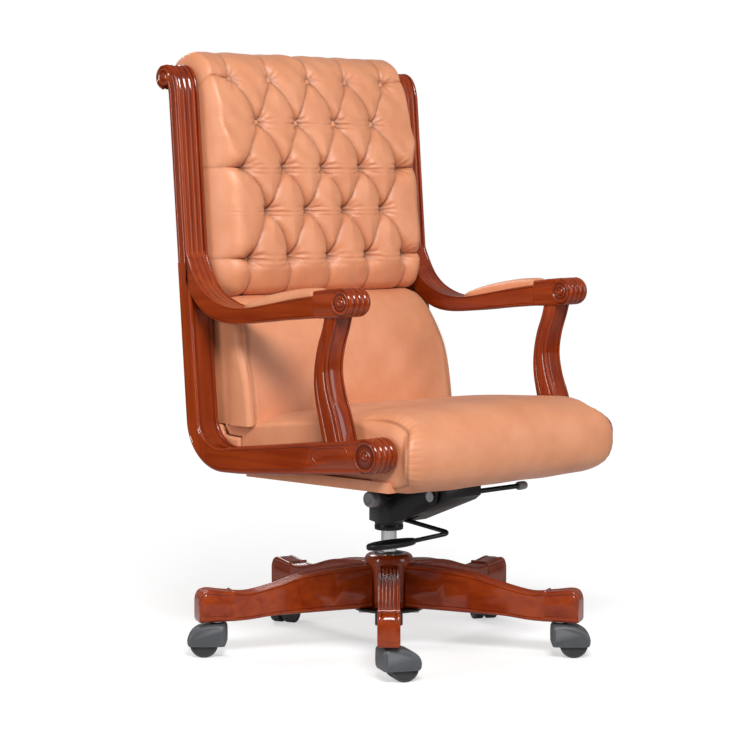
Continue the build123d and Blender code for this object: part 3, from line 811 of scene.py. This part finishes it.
def make_knob():
    """Tension knob: a ribbed collar and a grey dished cap on its screw."""
    centre = (0, -36 * MM, 286 * MM)
    ribs = [(-57.6, 5), (-58, 14.2), (-59, 15.6), (-60.2, 16), (-71.6, 16), (-73, 15.6), (-74, 14.4)]
    ribs += [(-74.2, 8)]
    grip = turned("knob", in_mm(ribs), centre, steps=96)
    for vertex in grip.data.vertices:
        if -0.072 < vertex.co.x < -0.0596:
            angle = math.atan2(vertex.co.z - centre[2], vertex.co.y - centre[1])
            squeeze = 1 - 0.035 * max(0.0, math.cos(24 * angle))
            vertex.co.y = centre[1] + (vertex.co.y - centre[1]) * squeeze
            vertex.co.z = centre[2] + (vertex.co.z - centre[2]) * squeeze
    smooth(grip, 40)
    dress(grip, "tension_knob_grip", GRIP_PLASTIC, "tension_knob", "black_plastic", "tension_knob")
    cap = [(-73.8, 8), (-74, 13.2), (-75, 14.2), (-86, 14.4), (-88.6, 13.6), (-90, 11.6), (-90, 9.6)]
    cap += [(-88.8, 8.2), (-88.6, 3), (-88.8, 0)]
    disc = turned("cap", in_mm(cap), centre, steps=64)
    smooth(disc, 40)
    dress(disc, "tension_knob_cap", CAP_PLASTIC, "tension_knob", "grey_plastic")
    screw = turned(
        "screw", [(-40 * MM, 0), (-40 * MM, 5 * MM), (-57.8 * MM, 5 * MM), (-57.8 * MM, 0)], centre, steps=32,
    )
    smooth(screw, 40)
    dress(screw, "tension_screw", BRIGHT_STEEL, "tension_knob", "bright_steel")


def make_levers():
    rod = softened("height_lever", 0.6 * MM, 2, 50)
    dress(rod, "height_lever_rod", BLACK_STEEL, "height_lever", "black_steel", "height_lever")
    deselect()
    bpy.ops.mesh.primitive_uv_sphere_add(segments=64, ring_count=24, radius=1, location=(0, 0, 0))
    paddle = bpy.context.object
    for vertex in paddle.data.vertices:
        x, y, z = vertex.co
        flat = (1 - abs(z) ** 2.6) ** (1 / 2.6) / max(1e-6, math.sqrt(max(1e-12, 1 - z * z)))
        flat = min(flat, 3.0)
        dish = 1.6 * MM * max(0.0, 1 - (x * x + y * y) * 1.4) if z > 0 else 0.0
        vertex.co = (
            -145 * MM + 29.8 * MM * x * flat,
            -146 * MM + 10.8 * MM * y * flat,
            224.6 * MM + 6.4 * MM * z - dish,
        )
    smooth(paddle, 60)
    dress(paddle, "height_lever_paddle", GRIP_PLASTIC, "height_lever", "black_plastic")
    lock = softened("lock_lever", 0.8 * MM, 2, 40)
    dress(lock, "lock_lever_rod", BLACK_STEEL, "lock_lever", "black_steel", "lock_lever")
    profile = [(154.6, 4.4), (155.2, 6), (156.4, 7.1), (158, 7.6), (164, 7.8), (172, 7.6), (175.4, 6.8)]
    profile += [(177.4, 5), (178, 2.5), (178.1, 0)]
    grip = turned("grip", in_mm(profile), (0, -170 * MM, 300 * MM), steps=40)
    smooth(grip, 50)
    dress(grip, "lock_lever_grip", CAP_PLASTIC, "lock_lever", "grey_plastic")


NODE_FINISHES = {
    "mahogany": UPRIGHT_WOOD, "leather": LEATHER, "plywood": PLYWOOD, "black_steel": BLACK_STEEL,
    "bright_steel": BRIGHT_STEEL, "dark_steel": BLACK_STEEL, "chrome": CHROME, "grey_plastic": HOOD_PLASTIC,
    "wheel_plastic": WHEEL_PLASTIC, "black_plastic": GRIP_PLASTIC,
}
for cad_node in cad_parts.values():
    for material_slot in cad_node.material_slots:
        material_slot.material = NODE_FINISHES.get(material_slot.material.name, BLACK_STEEL)

place_casters()
make_mechanism()

# ------------------------------------------------------------------ leather cushions


def skin(name, loops, crease_shade=None):
    """Closed mesh from rings of points, (rings, around, 3), its two end rings filled."""
    rings, around, _ = loops.shape
    index = np.arange(rings * around).reshape(rings, around)
    following = np.roll(index, -1, axis=1)
    quads = np.stack([index[:-1], following[:-1], following[1:], index[1:]], axis=-1).reshape(-1, 4)
    faces = quads.tolist() + [index[0].tolist()[::-1], index[-1].tolist()]
    mesh = bpy.data.meshes.new(name)
    mesh.from_pydata(loops.reshape(-1, 3).tolist(), [], faces)
    # Strength of the painted shade in folds and seams, per point, for the leather finish.
    if crease_shade is not None:
        attribute = mesh.attributes.new("Painted_Crease_Shade", "FLOAT", "POINT")
        attribute.data.foreach_set("value", np.ascontiguousarray(crease_shade, dtype=np.float32).reshape(-1))
    piece = bpy.data.objects.new(name, mesh)
    bpy.context.collection.objects.link(piece)
    edit(piece)
    bpy.ops.mesh.normals_make_consistent(inside=False)
    deselect()
    smooth(piece, 75)
    return piece


def run_line(points, count):
    """Evenly spaced points on the smooth line through the given ones, and the distance run at each."""
    dense = np.array([along(points, step / 600) for step in range(601)])
    lengths = np.concatenate([[0], np.cumsum(np.linalg.norm(np.diff(dense, axis=0), axis=1))])
    spots = np.linspace(0, lengths[-1], count)
    evened = [np.interp(spots, lengths, dense[:, axis]) for axis in range(dense.shape[1])]
    return np.stack(evened, axis=1), spots


def dip(distance, width):
    return np.exp(-((distance / width) ** 2))


def ease(value, low, high):
    """Smooth step from 0 at low to 1 at high."""
    place = np.clip((value - low) / (high - low), 0, 1)
    return place * place * (3 - 2 * place)


def segment_distance(px, py, a, b):
    """Distance from points to a segment, and the place of the nearest spot along it."""
    dx, dy = b[0] - a[0], b[1] - a[1]
    place = np.clip(((px - a[0]) * dx + (py - a[1]) * dy) / (dx * dx + dy * dy), 0, 1)
    return np.hypot(px - a[0] - place * dx, py - a[1] - place * dy), place


# Back cushion, drawn as pairs of points (y, z): the depth its buttons pull down to, and its rear face.
BACK_FORM = [
    (198, 650, 199, 652), (187, 649, 200, 656), (177, 654, 200, 663), (169.5, 665, 200.5, 672),
    (165.5, 683, 201.5, 686), (165, 707, 203, 707), (168, 748, 206, 748), (173, 790, 209, 790),
    (176, 830, 212, 830), (180, 866, 215, 866), (185, 908, 218, 908), (191, 948, 221, 948),
    (199, 988, 223, 980), (209, 1020, 226, 1000), (226, 1047, 240, 1030), (254, 1060, 254, 1041),
    (282, 1050, 267, 1036), (293, 1028, 272, 1026), (288, 1006, 266, 1012), (267, 993, 256, 1008),
    (247, 989, 244, 991),
]
BUTTON_ROWS = (
    (1024, (0, 97, 193)), (948, (48, 146)), (866, (0, 98, 196)), (790, (48, 146)), (707, (0, 99, 196)),
)
BACK_HALF = 252


def tufting():
    """Button spots and pleat lines on the unrolled front of the back cushion."""
    line, run = run_line(BACK_FORM, 900)
    front = run < run[int(len(run) * 0.72)]
    rows = []
    for height, places in BUTTON_ROWS:
        spot = run[front][np.argmin(np.abs(line[front, 1] - height))]
        rows.append((spot, sorted({sign * place for place in places for sign in (-1, 1)})))
    pleats = []
    for (low, low_places), (high, high_places) in zip(rows[1:], rows[:-1]):
        for a in low_places:
            for b in high_places:
                if abs(a - b) < 60:
                    middle = ((a + b) / 2 + 0.05 * (a - b), (low + high) / 2 + 3)
                    pleats += [((a, low), middle, 1), (middle, (b, high), 1)]
    for place in rows[-1][1]:
        pleats.append(((place, rows[-1][0]), (place * 1.01, 6), 0.8))
    for place in rows[0][1]:
        pleats.append(((place, rows[0][0]), (place * 1.0, run[-1]), 0.8))
    for row in (2, 4):
        for sign in (-1, 1):
            pleats.append(((sign * 196, rows[row][0]), (sign * 262, rows[row][0] + 2), 0.8))
    for sign in (-1, 1):
        pleats.append(((sign * 193, rows[0][0]), (sign * 262, rows[0][0] + 6), 0.6))
    return rows, pleats


def make_back_cushion():
    rows, pleats = tufting()
    count, wide = 330, 252
    line, run = run_line(BACK_FORM, count)
    turn = np.linspace(-1, 1, wide)
    x = BACK_HALF * np.sign(turn) * (1 - (1 - np.abs(turn)) ** 1.25)
    px, ps = np.meshgrid(x, run)
    outline = np.full(px.shape, 1e3)
    strength = np.zeros(px.shape)
    for a, b, weight in pleats:
        distance, _ = segment_distance(px, ps, a, b)
        nearer = distance < outline
        outline = np.where(nearer, distance, outline)
        strength = np.where(nearer, weight, strength)
    buttons = [(place, spot) for spot, places in rows for place in places]
    button = np.min([np.hypot(px - bx, ps - bs) for bx, bs in buttons], axis=0)
    pillow = np.sqrt(np.clip(1 - (1 - np.minimum(outline / 44, 1)) ** 2, 0, 1))
    rise = 0.62 * (1 - dip(button, 27)) ** 0.8
    puff = rise + (1 - rise) * pillow * (1 - 0.5 * dip(button, 18))
    end = run[-1]
    stops = [0, 12, 40, 80, 330, 390, 430, 500, end - 40, end]
    height = np.interp(run, stops, [2, 9, 22, 31, 31, 25, 19, 16, 10, 2])[:, None]
    puff = puff + (1 - puff) * 0.75 * ease(run, rows[0][0] + 22, rows[0][0] + 60)[:, None]
    lift = height * puff
    lift -= 1.5 * dip(outline, 1.6) * strength * np.clip((button - 4) / 10, 0, 1)
    for number, (bx, bs) in enumerate(buttons):
        angle = np.arctan2(ps - bs, px - bx)
        reach = np.hypot(px - bx, ps - bs)
        lift += 1.0 * np.cos(9 * angle + 1.7 * number) * dip(reach - 19, 9)
        lift += 0.6 * np.cos(5 * angle + 0.9 * number) * dip(reach - 32, 10)
    tension = np.zeros(px.shape)
    for spot, places in rows[1:]:
        for number, (a, b) in enumerate(zip([-250] + places, places + [250])):
            bow = 3.5 * np.sin(np.clip((px - a) / (b - a), 0, 1) * math.pi)
            near = np.minimum(np.abs(px - a), np.abs(px - b))
            inside = ((px > a) & (px < b)) * (0.25 if number in (0, len(places)) else 1.0)
            for gap, width in ((-1.5, 2.6), (-11 - 2 * (number % 2), 3.4), (9, 3.6)):
                fold = dip(ps - spot - gap + bow * (1 if gap > 0 else 1.6), width) * dip(near - 12, 26)
                tension += inside * fold * (1.0 if gap == -1.5 else 0.55)
    lift -= 2.7 * tension * np.clip(height / 20, 0, 1)
    for k in range(5):
        lift += 0.35 * np.sin(px * (0.05 + 0.021 * k) + ps * (0.037 + 0.017 * ((k * 3) % 5)) + 1.3 * k)
    outer, inner = line[:, :2], line[:, 2:]
    out = outer - inner
    slope = np.gradient(outer, axis=0)
    normal = np.stack([-slope[:, 1], slope[:, 0]], axis=1)
    normal /= np.linalg.norm(normal, axis=1)[:, None]
    normal *= np.sign(np.sum(normal * out, axis=1))[:, None]
    blunt = np.interp(run, [0, 330, 400, end], [36, 36, 18, 15])[:, None]
    over = np.clip((np.abs(px) - (BACK_HALF - blunt)) / blunt, 0, 1)
    edge = np.sqrt(np.clip(1 - over ** 2, 0, 1))
    body = inner[:, None, :] + out[:, None, :] * edge[..., None]
    face = body + normal[:, None, :] * (lift * edge)[..., None]
    front = np.concatenate([px[..., None], face], axis=-1)
    back_x = np.linspace(BACK_HALF, -BACK_HALF, 12)[1:-1]
    back = np.empty((count, len(back_x), 3))
    back[:, :, 0] = back_x
    back[:, :, 1:] = inner[:, None, :]
    # Painted shade along the pleats, round the buttons and in the tension folds.
    crease_shade = 0.62 * dip(outline, 1.7) * strength + 0.12 * dip(outline, 7) * strength + 0.85 * dip(button, 10)
    crease_shade = np.clip(crease_shade + 0.18 * tension, 0, 1)
    crease_shade = np.concatenate([crease_shade, np.zeros(back.shape[:2])], axis=1)
    cushion = skin("back_cushion_leather", np.concatenate([front, back], axis=1) * MM, crease_shade)
    dress(cushion, "back_cushion_leather", LEATHER, "seat", "leather", "back_cushion")

    domes = []
    for bx, bs in buttons:
        at = int(np.argmin(np.abs(run - bs)))
        centre = Vector((bx, *(outer[at] - normal[at] * 0.8))) * MM
        facing = Vector((0, normal[at][0], normal[at][1]))
        deselect()
        bpy.ops.mesh.primitive_uv_sphere_add(segments=24, ring_count=12, radius=7.0 * MM)
        dome = bpy.context.object
        frame_turn = facing.to_track_quat("Z", "Y").to_matrix().to_4x4()
        dome.data.transform(Matrix.Translation(centre) @ frame_turn @ Matrix.Diagonal((1, 1, 0.55, 1)))
        domes.append(dome)
    studs = join(domes, "back_button_caps")
    smooth(studs, 80)
    dress(studs, "back_button_caps", LEATHER, "seat", "leather", "back_buttons")


def stitch_line(points, name, spacing=4.6, length=3.0, thickness=0.55):
    """Row of short thread stitches lying on a line of points, in metres."""
    points = np.array(points)
    lengths = np.concatenate([[0], np.cumsum(np.linalg.norm(np.diff(points, axis=0), axis=1))])
    spots = np.arange(spacing * MM, lengths[-1] - spacing * MM, spacing * MM)
    vertices, faces = [], []
    for spot in spots:
        ends = []
        for place in (spot - length * MM / 2, spot + length * MM / 2):
            ends.append(Vector([float(np.interp(place, lengths, points[:, axis])) for axis in range(3)]))
        way = (ends[1] - ends[0]).normalized()
        one = way.orthogonal().normalized()
        two = way.cross(one)
        first = len(vertices)
        for place, size in ((0.0, 0.3), (0.15, 0.9), (0.5, 1.0), (0.85, 0.9), (1.0, 0.3)):
            centre = ends[0].lerp(ends[1], place)
            for corner in range(6):
                angle = corner * math.pi / 3
                reach = thickness * MM * size
                vertices.append(centre + one * (reach * math.cos(angle)) + two * (reach * math.sin(angle)))
        for ring in range(4):
            for corner in range(6):
                a, b = first + ring * 6 + corner, first + ring * 6 + (corner + 1) % 6
                faces.append((a, b, b + 6, a + 6))
        faces.append(tuple(range(first + 5, first - 1, -1)))
        faces.append(tuple(range(first + 24, first + 30)))
    mesh = bpy.data.meshes.new(name)
    mesh.from_pydata(vertices, [], faces)
    piece = bpy.data.objects.new(name, mesh)
    bpy.context.collection.objects.link(piece)
    smooth(piece, 60)
    return piece


LUMBAR_FRONT = [(186, 641), (166, 641), (146, 634), (128, 618), (114, 594), (103, 566), (94, 536), (87, 500),
                (82, 466), (79, 440)]
LUMBAR_HALF = 248
LUMBAR_SEAM = 236
LUMBAR_COUNT = 90
LUMBAR_LINE, _ = run_line(LUMBAR_FRONT, LUMBAR_COUNT)


def lumbar_point(x, place):
    """Front surface of the lumbar cushion: crowned between its side seams, its top corners rounded."""
    y, z = LUMBAR_LINE[place]
    across_it = abs(x) / LUMBAR_HALF
    crown = (1 - across_it ** 2.2) * math.sin(math.pi * min(1, 0.12 + 0.8 * place / LUMBAR_COUNT)) ** 0.8
    corner = max(0.0, abs(x) - (LUMBAR_HALF - 34))
    top = 641 - (34 - math.sqrt(34 ** 2 - corner ** 2))
    low = 433 - 15 * across_it ** 6
    return y + 3 - 11 * crown, low + (z - 440) * (top - low) / (641 - 440)


def widened(points, bulge):
    """Points pushed out sideways by the given rule, which returns a distance in millimetres."""
    pushed = points.copy()
    pushed[..., 0] += np.sign(points[..., 0]) * bulge(np.abs(points[..., 0]), points[..., 1], points[..., 2])
    return pushed


def lumbar_bulge(across, y, z):
    """How far the lumbar cushion swells sideways in front of the stiles."""
    return 15 * ease(across, 160, 248) * ease(-y, -168, -125) * ease(-z, -616, -530)


def seat_bulge(across, y, _):
    """How far the seat roll swells sideways in front of the rails' knuckles."""
    return 29 * ease(across, 165, 249) * ease(-y, 270.5, 304)


def make_lumbar():
    round_off = 9.0
    steps = [math.radians(angle) for angle in np.linspace(0, 90, 10)]
    xs = list(np.linspace(-(LUMBAR_HALF - round_off), LUMBAR_HALF - round_off, 110))
    loops, crease_shade = [], []
    for place in range(LUMBAR_COUNT):
        ring, seam_shade = [], []
        rear = 196.0 if place < 3 else 190.0
        for sign, order in ((-1, reversed(steps)), (1, None)):
            if sign == 1:
                for x in xs:
                    y, z = lumbar_point(x, place)
                    seam = abs(x) - LUMBAR_SEAM
                    y += 2.0 * float(dip(seam, 2.2)) - 0.8 * float(dip(abs(seam) - 6, 3))
                    y += 0.5 * math.sin(0.031 * x + 0.05 * z) + 0.35 * math.sin(0.067 * x - 0.083 * z + 1)
                    ring.append((x, y, z))
                    # Painted shade along the side seams.
                    seam_shade.append(0.8 * float(dip(seam, 1.8)))
                order = steps[1:]
            for angle in order:
                x = sign * (LUMBAR_HALF - round_off + round_off * math.sin(angle))
                inward = round_off * (1 - math.sin(angle)) * 0.4
                y, z = lumbar_point(sign * (LUMBAR_HALF - inward), place)
                ring.append((x, y + round_off * (1 - math.cos(angle)), z))
                seam_shade.append(0)
            if sign == 1:
                last = ring[-1]
                depth = rear - last[1]
                for step in (0.15, 0.32, 0.5, 0.68, 0.85, 1.0):
                    ring.append((last[0] - 1.5 * math.sin(math.pi * step), last[1] + depth * step, last[2]))
                    seam_shade.append(0)
                for step in (1.0, 0.85, 0.68, 0.5, 0.32, 0.15):
                    ring.append((-last[0] + 1.5 * math.sin(math.pi * step), last[1] + depth * step, last[2]))
                    seam_shade.append(0)
        loops.append(ring)
        crease_shade.append(seam_shade)
    cushion = skin("lumbar_leather", widened(np.array(loops), lumbar_bulge) * MM, np.array(crease_shade))
    dress(cushion, "lumbar_leather", LEATHER, "seat", "leather", "lumbar_cushion")
    rows = []
    for sign in (-1, 1):
        for offset in (-4.6, 4.6):
            x = sign * LUMBAR_SEAM + offset
            row = []
            for place in range(8, LUMBAR_COUNT - 2):
                y, z = lumbar_point(x, place)
                row.append((x, y - 0.9, z))
            rows.append(stitch_line(widened(np.array(row), lumbar_bulge) * MM, "stitches"))
    threads = join(rows, "lumbar_stitches")
    dress(threads, "lumbar_stitches", THREAD, "seat", "leather")


SEAT_LINE = [
    (166, 412), (167, 421), (158, 430), (118, 434), (78, 436), (30, 441), (-20, 447), (-114, 456),
    (-200, 460), (-240, 458), (-268, 450), (-292, 434), (-305, 412), (-309, 390), (-307, 368),
    (-299, 350), (-284, 337), (-262, 330), (-240, 329.5), (-200, 329.5),
]
SEAT_HALF = 251


def make_seat_cushion():
    line, run = run_line(SEAT_LINE, 230)
    slope = np.gradient(line, axis=0)
    inward = np.stack([slope[:, 1], -slope[:, 0]], axis=1)
    inward /= np.linalg.norm(inward, axis=1)[:, None]
    inward *= np.sign(np.sum(inward * (np.array([-60, 390]) - line), axis=1))[:, None]
    roll = np.clip((-(line[:, 0]) - 150) / 90, 0, 1)
    roll = roll * roll * (3 - 2 * roll) * np.clip((run[-1] - run) / 70, 0, 1)
    radius = 7 + 33 * roll
    floor_line = np.array([(-200 + 316 * step / 9, 349.2) for step in range(10)] + [(118, 398), (150, 400)])
    turns = np.radians(np.linspace(90, 0, 22))
    flats = np.linspace(-1, 1, 96)[1:-1]
    places = [(-1, angle) for angle in turns] + [(flat, None) for flat in flats]
    places += [(1, angle) for angle in turns[::-1]]
    loops, crease_shade = [], []
    wave = 0.55 * run
    for flat, angle in places:
        if angle is None:
            x = flat * (SEAT_HALF - radius)
            inset = np.zeros(len(line))
            pucker = np.zeros(len(line))
            fold_shade = np.zeros(len(line))
        else:
            x = flat * (SEAT_HALF - radius + radius * math.sin(angle))
            inset = radius * (1 - math.cos(angle))
            degrees = math.degrees(angle)
            gather = float(dip(degrees - 30, 20)) * roll
            pucker = 0.5 * gather * np.sin(wave + 0.9 * np.sin(0.11 * run)) * (0.7 + 0.3 * np.sin(0.19 * run))
            pucker = pucker - 1.5 * float(dip(degrees - 44, 5)) * roll
            # Painted shade along the corner seam and in the troughs of the gathers.
            fold_shade = 0.7 * float(dip(degrees - 44, 4.0)) * roll + 0.2 * gather * np.clip(-np.sin(wave), 0, 1)
        share = np.abs(x) / SEAT_HALF
        top = np.clip((line[:, 1] - 400) / 30, 0, 1)
        dome = 1 - share ** 2.4
        crown = (7 * dome - 13 * share ** 6 * (1 - roll)) * top + 4 * dome * roll * (1 - top)
        ripple = 0.6 * np.sin(0.021 * x + 0.017 * run + 0.4) + 0.4 * np.sin(0.053 * x - 0.041 * run + 2.0)
        ring = line + inward * (inset - crown - pucker - ripple * np.clip(top + roll, 0, 1))[:, None]
        under = floor_line.copy()
        under[:, 1] += 0.4
        loop = np.concatenate([ring, under])
        xs = np.concatenate([x, np.full(len(under), np.clip(x[-1], -SEAT_HALF + 3, SEAT_HALF - 3))])
        loops.append(np.column_stack([xs, loop]))
        crease_shade.append(np.concatenate([fold_shade, np.zeros(len(under))]))
    cushion = skin("seat_leather", widened(np.array(loops), seat_bulge) * MM, np.array(crease_shade))
    dress(cushion, "seat_leather", LEATHER, "seat", "leather", "seat_cushion")


def make_arm_pad():
    """Left arm pad: crowned, blunt at its block and tapering to a round rear end."""
    top = [(69, 627.5), (60, 634), (42, 641), (0, 652.5), (-60, 663), (-100, 666.5), (-112, 665.5)]
    top += [(-117.6, 661)]
    base = [(69, 625.5), (60, 626.2), (42, 629), (0, 636), (-60, 646.5), (-100, 652.5), (-112, 654)]
    base += [(-117.6, 655)]
    loops = []
    for step in range(90):
        place = step / 89
        y, high = along(top, place)
        _, low = along(base, place)
        half = 22.5 * min(1.0, math.sqrt(max(0.0, 1 - max(0.0, (y - 20) / 49.2) ** 2.4)) + 0.02)
        half *= 1 - 0.12 * max(0.0, (-y - 108) / 9.6) ** 2
        ring = []
        for turn in range(40):
            angle = math.pi * turn / 39
            side, up = math.cos(angle), math.sin(angle)
            side = math.copysign(abs(side) ** 0.72, side)
            bulge = 1 + 0.035 * math.sin(math.pi * up)
            ring.append((280 + half * side * bulge, y, low + (high - low) * up ** 0.8))
        loops.append(ring)
    pad = skin("arm_pad", np.array(loops) * MM)
    return pad


def make_arm_pads():
    left = make_arm_pad()
    right = twin(left, "arm_pad")
    for side, pad in (("left", left), ("right", right)):
        dress(pad, f"{side}_arm_pad_leather", LEATHER, "seat", "leather", f"{side}_arm_pad")


PANEL_HALF = 252
PANEL_SEAM = 236


def make_rear_panel():
    """Leather on the back of the chair, from under the seat to the top, bowed out between its welts."""
    outer = [(101, 341.6), (112, 341.7)] + list(arc((112, 430), 88.3, -86, -6, 14))
    outer += [(201, 440), (221.5, 701), (241.5, 984)]
    line, run = run_line(outer, 150)
    slope = np.gradient(line, axis=0)
    normal = np.stack([slope[:, 1], -slope[:, 0]], axis=1)
    normal /= np.linalg.norm(normal, axis=1)[:, None]
    edge = np.linspace(PANEL_SEAM, PANEL_HALF, 14)[1:]
    xs = np.concatenate([-edge[::-1], np.linspace(-PANEL_SEAM, PANEL_SEAM, 60), edge])
    share = np.abs(xs) / PANEL_HALF
    ends = np.clip(np.minimum(run, run[-1] - run) / 40, 0, 1) ** 0.5
    bow = 3.5 * (1 - share ** 4)[None, :] * ends[:, None]
    welt = 2.4 * np.sqrt(np.clip(1 - ((np.abs(xs) - 247) / 4.6) ** 2, 0, 1))
    seam = -1.4 * dip(np.abs(xs) - 241.5, 1.4)
    lift = bow + (welt + seam)[None, :] * np.ones((len(run), 1)) - 1.0
    outside = line[:, None, :] + normal[:, None, :] * lift[..., None]
    front = np.concatenate([np.broadcast_to(xs[None, :, None], (len(run), len(xs), 1)), outside], axis=-1)
    back_x = np.linspace(PANEL_HALF, -PANEL_HALF, 10)
    rear = np.empty((len(run), 10, 3))
    rear[..., 0] = back_x
    rear[..., 1:] = (line - normal * 5.6)[:, None, :]
    # Painted shade along the seams beside the welts.
    seam_shade = np.concatenate([
        np.broadcast_to(0.8 * dip(np.abs(xs) - 241.5, 1.6), (len(run), len(xs))), np.zeros((len(run), 10)),
    ], axis=1)
    panel = skin("rear_panel_leather", np.concatenate([front, rear], axis=1) * MM, seam_shade)
    dress(panel, "rear_panel_leather", LEATHER, "seat", "leather", "back_panel")


def make_seat_wrap():
    """Leather turned round the seat board's edges, with black cambric under it."""
    board = softened("seat_board", 2.5 * MM, 3)
    dress(board, "seat_board_wrap", LEATHER, "seat", "leather", "seat_board")
    board.data.materials.append(CAMBRIC)
    for face in board.data.polygons:
        inner = abs(face.center.x) < 0.249 and -0.24 < face.center.y < 0.095
        if face.normal.z < -0.9 and inner:
            face.material_index = 1


def make_hidden_rails():
    """Leather-covered filling behind the seat and the plywood rail inside the top roll."""
    outline = [(121, 360), (150, 360), (165, 368), (179, 385), (187, 400), (191, 416.5)]
    outline += [(169.5, 416.5), (168, 408), (163, 399), (150, 397), (121, 396)]
    across = np.linspace(-251.5, 251.5, 12)
    rings = np.array([[(x, y, z) for y, z in outline] for x in across])
    block = skin("filling", rings * MM)
    bevel(block, 5 * MM, 4, 60)
    dress(block, "rear_corner_filling", LEATHER, "seat", "leather")
    deselect()
    bpy.ops.mesh.primitive_cylinder_add(
        vertices=48, radius=16 * MM, depth=505 * MM, location=(0, 255 * MM, 1026 * MM),
        rotation=(0, QUARTER, 0),
    )
    bar = settle(bpy.context.object)
    bevel(bar, 2 * MM, 3)
    dress(bar, "top_rail", PLYWOOD, "seat", "plywood", "cross_rails")


make_hidden_rails()
make_back_cushion()
make_lumbar()
make_seat_cushion()
make_arm_pads()
make_rear_panel()
make_seat_wrap()

# ------------------------------------------------------------------ camera, light and floor

camera_data = bpy.data.cameras.new("camera")
camera_data.lens = 120.2
camera_data.sensor_width = 36
camera_data.clip_end = 60
camera = bpy.data.objects.new("camera", camera_data)
camera.location = (-3.2065, -3.0965, 0.8494)
camera.rotation_euler = Vector((0.7131, 0.6964, -0.0807)).to_track_quat("-Z", "Y").to_euler()
bpy.context.collection.objects.link(camera)
bpy.context.scene.camera = camera


def make_floor():
    """Pale floor disc that fades out with distance and glows a little to the camera alone."""
    material = bpy.data.materials.new("pale_floor")
    material.use_nodes = True
    tree = material.node_tree
    shader = tree.nodes["Principled BSDF"]
    shader.inputs["Roughness"].default_value = 0.8
    shader.inputs["Emission Color"].default_value = (1, 1, 1, 1)
    place = tree.nodes.new("ShaderNodeTexCoord")
    reach = tree.nodes.new("ShaderNodeVectorMath")
    reach.operation = "LENGTH"
    tree.links.new(place.outputs["Object"], reach.inputs[0])
    far = spread(tree, reach.outputs["Value"], 0.5, 2.2)
    tone = blend_colors(tree, far, (0.62, 0.62, 0.62, 1), (0.06, 0.06, 0.06, 1))
    tree.links.new(tone, shader.inputs["Base Color"])
    rays = tree.nodes.new("ShaderNodeLightPath")
    glow = sums(tree, "MULTIPLY", rays.outputs["Is Camera Ray"], spread(tree, far, 0.0, 1.0, 0.5, 0.98))
    tree.links.new(glow, shader.inputs["Emission Strength"])
    deselect()
    bpy.ops.mesh.primitive_circle_add(vertices=96, radius=14, fill_type="NGON", location=(0, 0, 0))
    floor = bpy.context.object
    floor.name = "floor"
    floor.data.materials.append(material)


def softbox(name, size, spot, aim, power, tint=(1, 1, 1)):
    data = bpy.data.lights.new(name, "AREA")
    data.shape = "RECTANGLE"
    data.size, data.size_y = size
    data.energy = power
    data.color = tint
    lamp = bpy.data.objects.new(name, data)
    lamp.location = spot
    lamp.rotation_euler = (Vector(aim) - Vector(spot)).to_track_quat("-Z", "Y").to_euler()
    bpy.context.collection.objects.link(lamp)


def make_backdrop():
    """White behind the chair, and a weaker even light from all round."""
    world = bpy.data.worlds.new("studio")
    world.use_nodes = True
    tree = world.node_tree
    sky = tree.nodes["Background"]
    backdrop = tree.nodes.new("ShaderNodeBackground")
    for node, strength in ((sky, 0.23), (backdrop, 1.0)):
        node.inputs["Color"].default_value = (1, 1, 1, 1)
        node.inputs["Strength"].default_value = strength
    rays = tree.nodes.new("ShaderNodeLightPath")
    mixer = tree.nodes.new("ShaderNodeMixShader")
    tree.links.new(rays.outputs["Is Camera Ray"], mixer.inputs["Fac"])
    tree.links.new(sky.outputs["Background"], mixer.inputs[1])
    tree.links.new(backdrop.outputs["Background"], mixer.inputs[2])
    tree.links.new(mixer.outputs["Shader"], tree.nodes["World Output"].inputs["Surface"])
    bpy.context.scene.world = world


make_floor()
softbox("key", (1.3, 1.0), (-1.9, -2.3, 2.7), (0, 0, 0.6), 124)
softbox("front_fill", (1.2, 2.0), (1.3, -2.9, 1.3), (0, 0, 0.6), 24)
softbox("side_strip", (0.4, 1.8), (-3.0, 0.6, 1.2), (0, 0, 0.6), 26)
softbox("back_rim", (1.2, 0.8), (0.8, 2.6, 2.4), (0, 0, 0.8), 34)
make_backdrop()
bpy.context.scene.view_settings.view_transform = "Standard"
